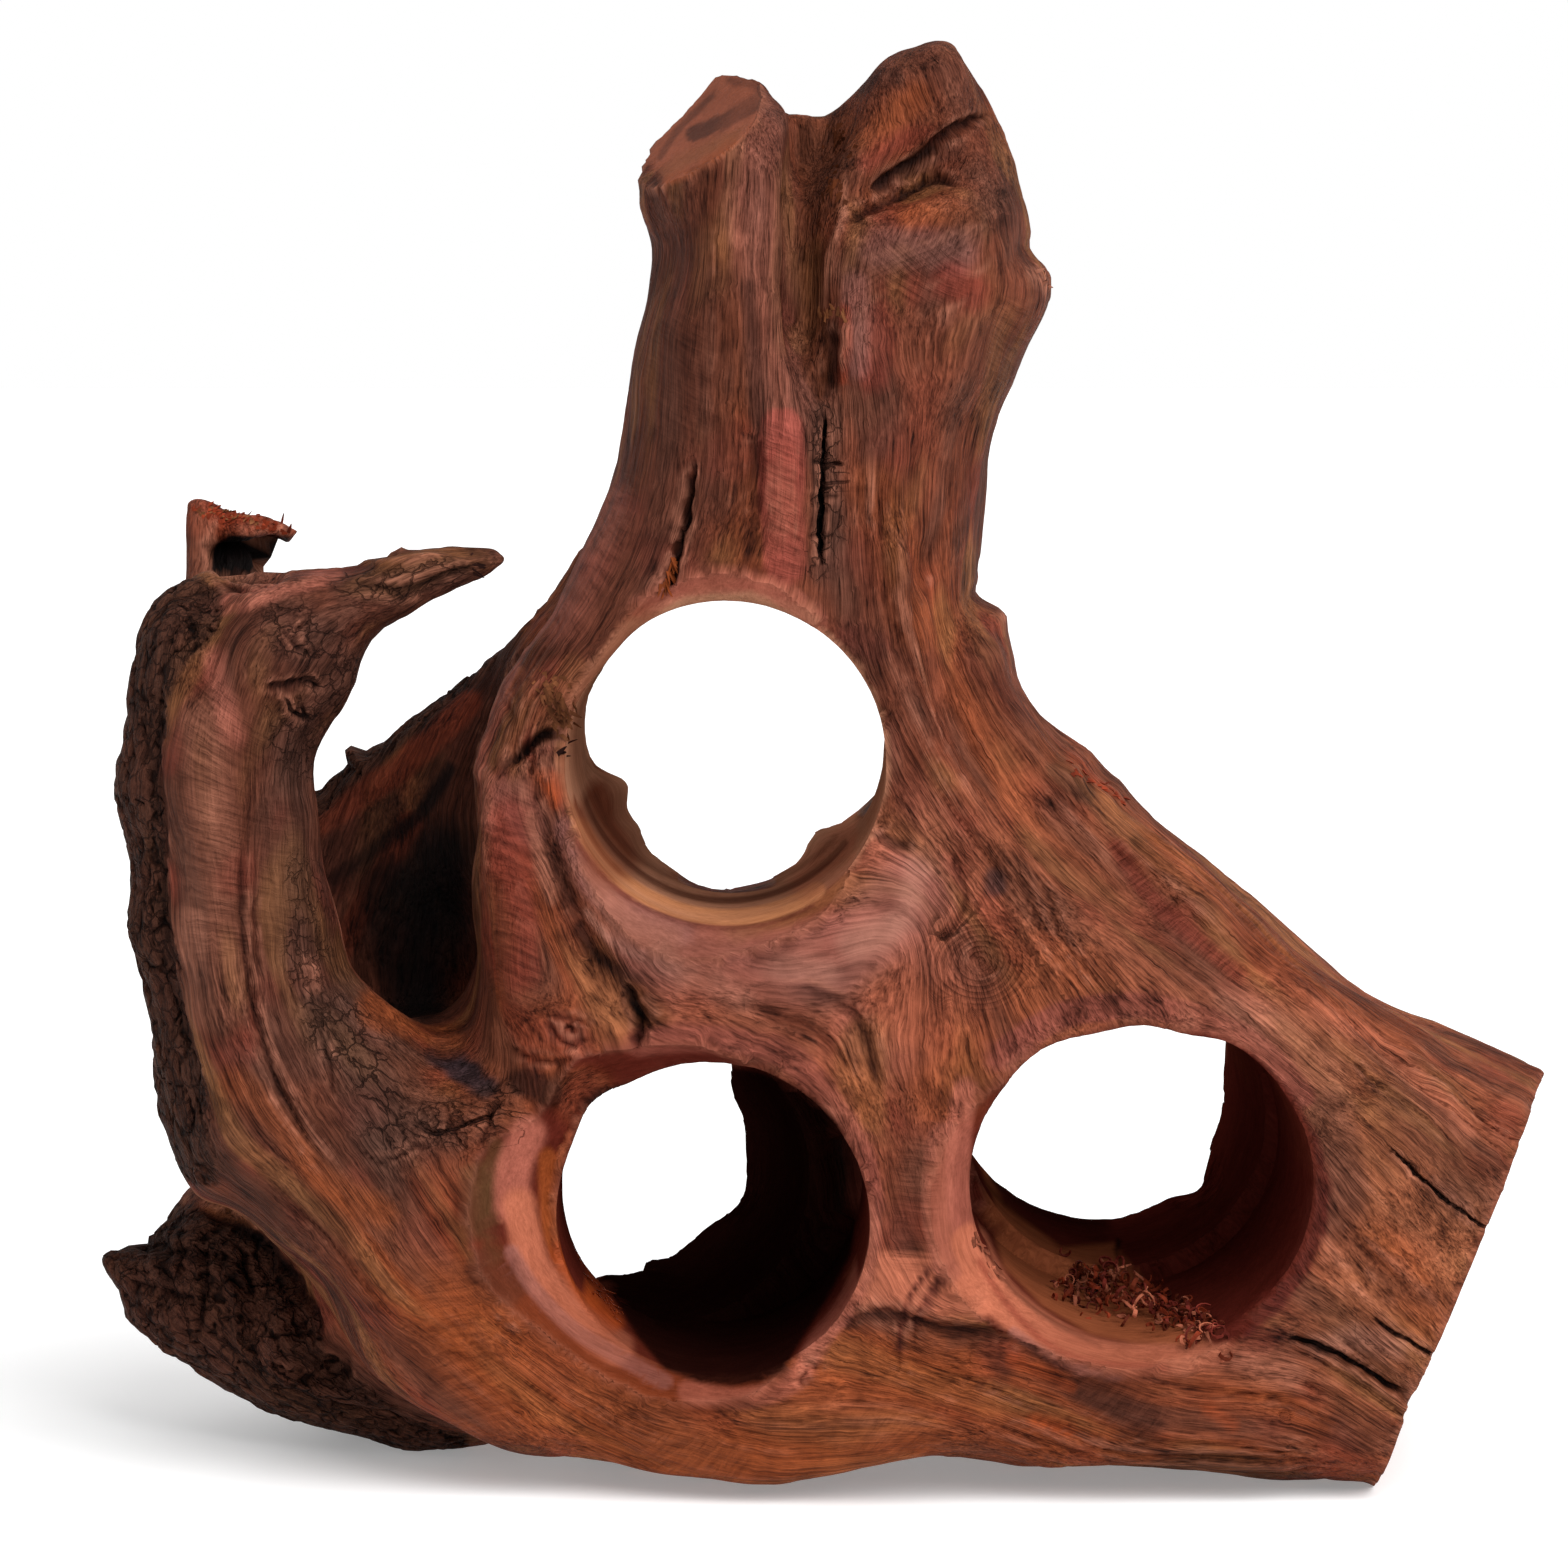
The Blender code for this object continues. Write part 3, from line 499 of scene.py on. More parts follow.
# Each mark is (depth, width to the left, width to the right, [sight places]). A negative
# depth raises a ridge. Left and right are as its line travels.
marks = [
    (3.2, 0.8, 0.8, [(-18.5, 68.5), (-19, 65), (-20, 60), (-21, 54), (-22.5, 48), (-24, 42),
                     (-26, 37)]),
    (2.6, 0.55, 0.55, [(8.7, 80), (8.8, 70), (8.6, 62), (8.3, 55), (8, 48), (7.5, 44)]),
    (1.0, 0.4, 0.4, [(6, 67.5), (9, 67.3), (12.5, 67)]),
    (1.0, 0.4, 0.4, [(7, 63.5), (10, 62.8), (14, 63)]),
    (0.8, 0.4, 0.4, [(4.5, 60), (8, 60), (12, 60.4)]),
    (0.8, 0.4, 0.4, [(5, 52), (8.5, 52), (13, 51)]),
    (0.9, 1.0, 2.6, [(-5.5, 74), (-5, 62), (-4.5, 46)]),
    (0.8, 2.2, 1.0, [(4, 72), (3.8, 60), (4, 46)]),
    (-0.8, 2.6, 2.6, [(-0.5, 74), (-0.5, 60), (0, 45)]),
    (0.8, 1.4, 1.4, [(-7, 104), (-6.5, 92), (-6, 80), (-6, 66), (-7, 50)]),
    (0.7, 1.6, 1.6, [(-13, 127), (-13, 110), (-13, 90), (-14, 70), (-15, 48)]),
    (2.2, 0.8, 1.4, [(17, 123), (22, 127), (27, 130), (31, 133.5), (35, 137), (40, 139.5),
                     (44, 140.5)]),
    (1.8, 0.8, 1.2, [(12, 116.5), (16, 120), (20, 122), (25, 124.5), (30, 127), (33, 127.5),
                     (35, 126), (37, 124.5)]),
    (-0.9, 1.2, 1.2, [(13, 127), (12, 118), (10, 112), (9, 106), (8, 100)]),
    (2.0, 1.6, 1.6, [(9.5, 96), (9.5, 88), (9, 82)]),
    (-1.2, 1.2, 1.2, [(13, 100), (12.8, 92), (12, 84)]),
    (0.9, 1.5, 3.0, [(48, 124), (38, 118), (28, 115), (20, 113), (13, 110)]),
    (0.9, 2.0, 3.0, [(44, 112), (34, 108), (24, 106), (17, 103), (13, 96)]),
    (0.9, 1.5, 3.0, [(42, 106), (33, 101), (28, 95), (26, 84)]),
    (-0.8, 2.5, 2.5, [(50, 118), (46, 112), (38, 104), (33, 96), (31, 84)]),
    (1.2, 1.4, 2.2, [(36, 60), (31, 48), (28, 36), (31, 24), (38, 10), (46, -4)]),
    (0.8, 1.2, 1.8, [(20, 70), (21, 58), (20, 46), (22, 36), (27, 24), (33, 8), (37, -4)]),
    (-0.8, 2.0, 2.0, [(24, 66), (25, 50), (25, 38), (29, 26), (34, 10)]),
    (-1.3, 1.6, 1.6, [(-47, 38), (-52, 33), (-57, 25), (-60, 17), (-63, 10), (-64, 4), (-62, 0),
                      (-62, -12), (-62, -30)]),
    (3.0, 1.2, 1.2, [(-58, 4), (-55, 6.5), (-52, 9), (-48.5, 10.5), (-47, 9)]),
    (1.4, 1.4, 1.4, [(-54, 10), (-51, 0), (-52, -5)]),
    (1.2, 1.4, 2.0, [(-49, -4), (-48, -12), (-46, -20), (-43.5, -27), (-42, -32), (-39, -36),
                     (-35, -39), (-32, -40.5)]),
    (2.2, 1.2, 1.0, [(-34, -41), (-32, -45), (-30, -49), (-31, -54), (-30, -57)]),
    (-1.2, 2.4, 2.4, [(-29, -42), (-27, -47), (-26, -51)]),
    (-0.9, 1.8, 1.8, [(-46, -24), (-44, -31), (-41, -36)]),
    (0.8, 1.2, 1.2, [(-60, 20), (-57, 12), (-57, 0), (-56, -8)]),
    (0.9, 0.8, 0.8, [(-59, -54), (-54, -57), (-48, -58), (-42, -57)]),
    (0.8, 0.6, 0.6, [(-50, -49), (-48, -52.5), (-45, -54.5), (-41, -53.5), (-40.5, -51.5)]),
    (0.8, 0.6, 0.6, [(-50, -49), (-46, -48.8), (-42, -49.5), (-40.5, -51.5)]),
    (1.4, 0.9, 0.9, [(-46.5, -50.5), (-44.5, -51), (-44, -52.5)]),
    (1.2, 1.2, 2.4, [(-2, -42), (6, -43.5), (13, -47), (17, -52), (19, -59), (20, -66)]),
    (0.9, 1.0, 1.6, [(-8, -46), (0, -49), (7, -52), (12, -57), (15, -63)]),
    (1.0, 1.2, 1.2, [(34, -12), (37, -19), (38, -25), (35, -30), (30, -34)]),
    (0.9, 1.0, 1.4, [(47, -17), (51, -23), (54, -30), (58, -36), (64, -44)]),
    (0.9, 0.8, 1.2, [(53, -18), (56, -25), (58, -32), (62, -37), (67, -43)]),
    (1.4, 2.5, 2.5, [(38, -35), (42, -37), (44, -40)]),
    (0.7, 2.2, 2.6, [(68, -9), (72, -17), (79, -26), (88, -34), (97, -42)]),
    (0.9, 1.2, 2.4, [(60, -2), (68, -12), (75, -18), (84, -26), (94, -34)]),
    (1.4, 2.0, 2.0, [(20, -10), (23, -12.5), (27, -13)]),
    (1.3, 0.45, 0.45, [(125, -75), (131, -80), (138, -86), (147, -92.5), (150, -95)]),
    (1.3, 0.5, 0.5, [(122, -111), (128, -115), (135, -119), (138, -121)]),
    (1.7, 0.6, 0.9, [(103, -115), (107, -116), (112, -117.5), (120, -121.5), (127, -126),
                     (132, -127.5)]),
    (0.8, 0.4, 0.4, [(119, -58), (122, -61), (126, -64.5)]),
    (0.8, 0.4, 0.4, [(138, -63), (146, -69), (156, -76)]),
    (0.9, 2.0, 3.0, [(113, -92), (120, -97), (127, -104), (136, -109)]),
    (0.8, 1.5, 2.0, [(122, -50), (132, -60), (140, -70)]),
    (-0.9, 2.0, 2.0, [(126, -50), (136, -60), (146, -70)]),
    (0.55, 0.6, 0.6, [(31, -101), (27, -106), (25, -112), (24, -120), (26.5, -126)]),
    (0.5, 0.5, 0.5, [(34, -101), (30, -107), (27.5, -113), (27, -122)]),
    (0.5, 0.5, 0.5, [(37, -99), (33, -104), (30, -110)]),
    (1.2, 0.8, 2.2, [(10, -113), (20, -110), (28, -112), (36, -114), (45, -114.5), (54, -119),
                     (62, -123.5)]),
    (0.8, 2.0, 2.0, [(30, -131), (45, -131), (60, -134), (75, -139)]),
    (0.7, 2.5, 2.5, [(-30, -134), (-12, -136), (4, -138), (12, -141)]),
    (0.9, 0.6, 0.6, [(3, -126), (5, -123), (8, -121)]),
    (1.3, 0.8, 1.2, [(-113, -8), (-113, -24), (-112, -40), (-109, -52), (-106, -62), (-99, -75)]),
    (0.9, 0.6, 0.8, [(-110, -22), (-110, -32), (-109, -42)]),
    (0.7, 1.2, 1.4, [(-107, -60), (-103, -68), (-99, -76), (-95, -82)]),
    (0.9, 0.7, 0.9, [(-97, -50), (-95, -58), (-94, -66)]),
    (-1.2, 2.0, 2.0, [(-99.5, -37), (-98.5, -42)]),
    (10.0, 4.2, 3.6, [(-121, 48.5), (-115, 48.2), (-110, 48), (-103, 48)]),
    (-2.6, 2.0, 2.0, [(-91, 4), (-88, 6.5)]),
    (-1.6, 1.2, 1.2, [(-84, 48), (-81, 49.5), (-78, 48.5)]),
    (0.9, 2.2, 0.7, [(4, 139), (4, 120), (4.4, 100), (5, 88), (8, 80)]),
    (1.8, 1.0, 2.0, [(-136, -93), (-128, -97), (-118, -97)]),
    (1.6, 0.9, 1.4, [(-131, -92), (-129, -102), (-131, -112)]),
    (1.6, 0.8, 1.2, [(-122, -92), (-121, -104), (-123, -118)]),
    (1.4, 0.8, 1.2, [(-139, -104), (-130, -106), (-122, -108)]),
    (-1.6, 3.0, 3.0, [(-134, -99), (-126, -102)]),
    (-1.8, 3.0, 3.0, [(-107, -104), (-105, -112), (-108, -122)]),
    (2.0, 1.6, 2.4, [(-108, -126), (-98, -130), (-88, -132), (-76, -134)]),
    (-0.9, 1.2, 1.2, [(-124, 50), (-118, 51.5), (-110, 50.5), (-104, 51.5)]),
    (-1.4, 3.0, 3.0, [(-119, 12), (-120, -5), (-119, -22), (-121, -34)]),
    (1.4, 1.0, 2.4, [(-130, 30), (-131, 10), (-130, -10), (-130, -28), (-126, -50), (-121, -64)]),
    (-1.0, 2.0, 2.0, [(-119, 37), (-112, 38.5), (-100, 42), (-92, 45)]),
    (1.5, 0.8, 1.2, [(-118, 43), (-114, 41.5), (-109, 41)]),
    (1.6, 0.8, 1.0, [(-109, 20.5), (-104, 20.5), (-99, 21.5), (-97, 19)]),
    (1.1, 0.6, 0.6, [(-105, 19), (-103, 15), (-100, 14), (-101, 17)]),
    (-1.6, 3.2, 3.2, [(-106, 16), (-102, 17)]),
    (0.8, 0.5, 0.5, [(-106, 34), (-103, 31), (-99, 27), (-97, 25)]),
    (0.8, 0.5, 0.5, [(-99, 36), (-102, 31), (-100, 26)]),
    (1.3, 0.8, 1.6, [(-90, 43), (-80, 41), (-70, 44), (-62, 47)]),
    (-0.8, 1.0, 1.0, [(-92, 47), (-80, 46.5), (-68, 48.5)]),
    (2.0, 1.4, 1.0, [(-126, -88), (-118, -90.5), (-112, -94), (-104, -102), (-99, -111),
                     (-96, -119)]),
    (2.6, 0.8, 1.0, [(-113, -97), (-112, -102), (-111, -108)]),
    (-1.6, 1.6, 1.6, [(-115, -103), (-114, -112), (-112, -122)]),
    (2.5, 3.0, 3.0, [(-103, -123), (-96, -123), (-90, -124)]),
    (1.0, 0.5, 0.6, [(-77, -71), (-73, -73), (-67, -71), (-62, -69), (-58, -65)]),
    (0.9, 0.5, 0.5, [(-64, -76), (-62, -71), (-61, -66)]),
    (0.9, 0.5, 0.5, [(-71, -66), (-69, -72), (-66, -77)]),
    (0.9, 0.5, 0.5, [(-90, -76), (-84, -79), (-77, -76), (-72, -77)]),
]
# Sharp marks are painted dark as shade in their crevices, by how sharp and deep they are; check
# holds the distance to the nearest hairline.
jagged = np.stack([ripple(places, (2.6, 2.6, 2.6), seed) for seed in (11, 12)], axis=1)
crack_shade = np.zeros(len(places))
check = np.full(len(places), 9.0)
check_share = np.zeros(len(places))
shallow, sharp, hairline = 0.95, 1.3, 0.8
for depth, left, right, line in marks:
    path = smooth_path(line, 1.5)
    margin = 3.5 * max(left, right) + 1.0
    close = np.all(spots > path.min(0) - margin, axis=1)
    close &= np.all(spots < path.max(0) + margin, axis=1) & (seen > 0.05)
    here = np.flatnonzero(close)
    gap, side, share, _ = beside_path(spots[here] + 0.5 * jagged[here], path)
    ends = step(np.minimum(share, 1 - share), -0.02, 0.2)
    ends = np.where(depth > 0, ends, step(np.minimum(share, 1 - share), 0, 0.35))
    width = np.where(side > 0, left, right) * (0.4 + 0.6 * ends + 0.25 * jagged[here, 1])
    share = np.exp(-((gap / width) ** 2)) * ends
    lift[here] -= depth * share
    if depth > shallow and min(left, right) < sharp:
        crack_shade[here] = np.maximum(crack_shade[here], share ** 1.5 * min(1.0, depth * 0.3))
        closest = (gap < np.abs(check[here])) & (min(left, right) < hairline)
        check[here] = np.where(closest, side, check[here])
        check_share[here] = np.where(closest, ends * min(1.0, depth * 0.7), check_share[here])


# Bark. It still covers the outer left of the horn, the toe and the back limb. It dried
# into plates a few millimetres wide, with deep cracks between them. Near and far parts
# that lie over each other from the front are told apart by their depth.
def inside(spots, corners, soft):
    """1 inside an outline of sight places, 0 outside, soft at the edge."""
    ring = np.array(list(corners) + [corners[0]], float)
    gap, _, _, _ = beside_path(spots, ring)
    odd = np.zeros(len(spots), bool)
    for (ax, az), (bx, bz) in zip(ring[:-1], ring[1:]):
        between = (az > spots[:, 1]) != (bz > spots[:, 1])
        cross = ax + (spots[:, 1] - az) * (bx - ax) / (bz - az if bz != az else 1e-9)
        odd ^= between & (spots[:, 0] < cross)
    return step(np.where(odd, gap, -gap), -soft, soft)


near_layer = step(fibres[:, 2] + 5.0 * ripple(places, (8.0, 8.0, 8.0), 14), 35.0, 45.0)
horn_bark = [(-128, 45), (-118, 40), (-118, 32), (-124, 26), (-129, 16), (-131, 0), (-129, -28),
             (-125, -50), (-121, -66), (-118, -84), (-150, -84), (-150, 45)]
toe_bark = [(-150, -84), (-124, -88), (-112, -94), (-103, -102), (-98, -112), (-95, -119),
            (-87, -126), (-80, -132), (-66, -137), (-66, -145), (-150, -145)]
limb_bark = [(-99, -8), (-88, 2), (-76, 12), (-60, 26), (-52, 37), (-60, 44), (-110, 10)]
patch_bark = [(-76, -66), (-66, -64), (-57, -66), (-60, -74), (-68, -78), (-76, -75)]
ragged = 1.3 * ripple(fibres, (5.0, 9.0, 5.0), 5)
shifted = spots + ragged[:, None]
bark = inside(shifted, horn_bark, 1.0) * near_layer
bark = np.maximum(bark, inside(shifted, toe_bark, 1.0))
bark = np.maximum(bark, inside(shifted, limb_bark, 1.0) * (1 - near_layer))
bark = np.maximum(bark, inside(shifted, patch_bark, 2.0) * 0.5)
bark *= 1 - smoothed
plates = np.zeros(len(places))
gaps = np.ones(len(places))
plate_size = np.array([4.6, 6.2, 4.6])
noise.seed_set(7)
for i in np.flatnonzero(bark > 0.02):
    spot = Vector(fibres[i] / plate_size)
    spot += noise.noise_vector(spot * 1.7) * 0.35
    distances, centres = noise.voronoi(spot)
    gaps[i] = distances[1] - distances[0]
    plates[i] = noise.noise(centres[0] * 3.1)

# Finer crackle, in cells of about 3 mm, crazes the grey skin of the horn and of a few spots.
crackled = [
    (1.0, 7, [(-104, 34), (-96, 28), (-92, 20)]), (0.9, 5, [(-90, 42), (-78, 42), (-68, 45)]),
    (1.0, 7, [(-94, -50), (-88, -60), (-84, -72)]), (1.0, 5, [(-74, -70), (-66, -70), (-58, -67)]),
    (0.8, 3, [(8, 76), (8.5, 62), (8, 46)]), (0.7, 5, [(-106, 8), (-100, 14), (-98, 4)]),
    (0.6, 5, [(-100, -20), (-99, -40), (-94, -56)]),
]
crazed = patches(crackled, spots, 4.0, 0.5, 1.1, 2.5 * ragged)
crazed *= in_view * (1 - smoothed) * (1 - bark)
lift += bark * (0.2 + 0.7 * plates - 0.5 * np.exp(-((gaps / 0.1) ** 2)))
lift += bark * 0.35 * ripple(fibres, (1.6, 2.4, 1.6), 6)
places = places + outward * lift[:, None]
write_skin(skin, places)

# How hollow each point is, for painted shade in the hollows and a partly painted highlight on the
# ridges: positive is hollow, in millimetres.
places, outward, pairs = read_skin(skin)
narrow = ((soften(places, pairs, 4, 0.5) - places) * outward).sum(1)
wide_dip = ((soften(places, pairs, 40, 0.5) - places) * outward).sum(1)
wide_dip = soften(wide_dip[:, None], pairs, 4, 0.5)[:, 0]


# The colours of the wood: red-brown heartwood, orange where it was cut or broken, pink where it was
# sanded, and grey and dark brown where it weathered. The near-black tones stand for painted shade
# in cracks, crevices and hollows, and the palest pink tones serve also as painted highlights on
# ridges. Tones are as seen.
tones = {
    "stem": (104, 52, 36), "prong": (130, 70, 50), "trunk": (136, 70, 48),
    "mid": (186, 106, 84), "limb": (178, 99, 68), "belly": (152, 74, 42), "horn": (92, 51, 37),
    "dull": (96, 54, 41), "red": (146, 58, 46), "orange": (170, 84, 42), "glow": (196, 84, 38),
    "pink": (200, 114, 94), "lilac": (166, 106, 96), "peach": (244, 164, 112),
    "flesh": (216, 124, 93), "maroon": (112, 52, 44), "grey": (94, 64, 53),
    "olive": (104, 72, 46), "dark": (56, 28, 22), "shade_black": (18, 10, 9), "slate": (52, 44, 50),
    "bark": (80, 48, 36), "groove": (100, 50, 26), "tan": (160, 98, 62), "ember": (172, 70, 42),
    "wine": (100, 37, 29), "pitch": (34, 13, 10), "floor": (180, 100, 64),
    "light": (202, 130, 104), "bore": (206, 146, 114), "rim": (152, 80, 66),
    "plank": (124, 52, 32), "ochre": (160, 106, 64), "painted_sheen": (222, 158, 136),
    "sawn": (170, 94, 68), "rose": (180, 86, 73), "rosy": (156, 94, 78),
}


def paint(tone):
    """A tone as seen, 0 to 255, as the share of light that it returns under these lamps."""
    value = np.array(tones[tone]) / 255.0
    return np.where(value <= 0.04045, value / 12.92, ((value + 0.055) / 1.055) ** 2.4) / 1.8


def arc(middle, radius, start, end):
    """Sight places along part of a circle, from one angle to another in degrees."""
    turns = np.radians(np.linspace(start, end, 14))
    return [(middle[0] + radius * math.cos(t), middle[1] + radius * math.sin(t)) for t in turns]
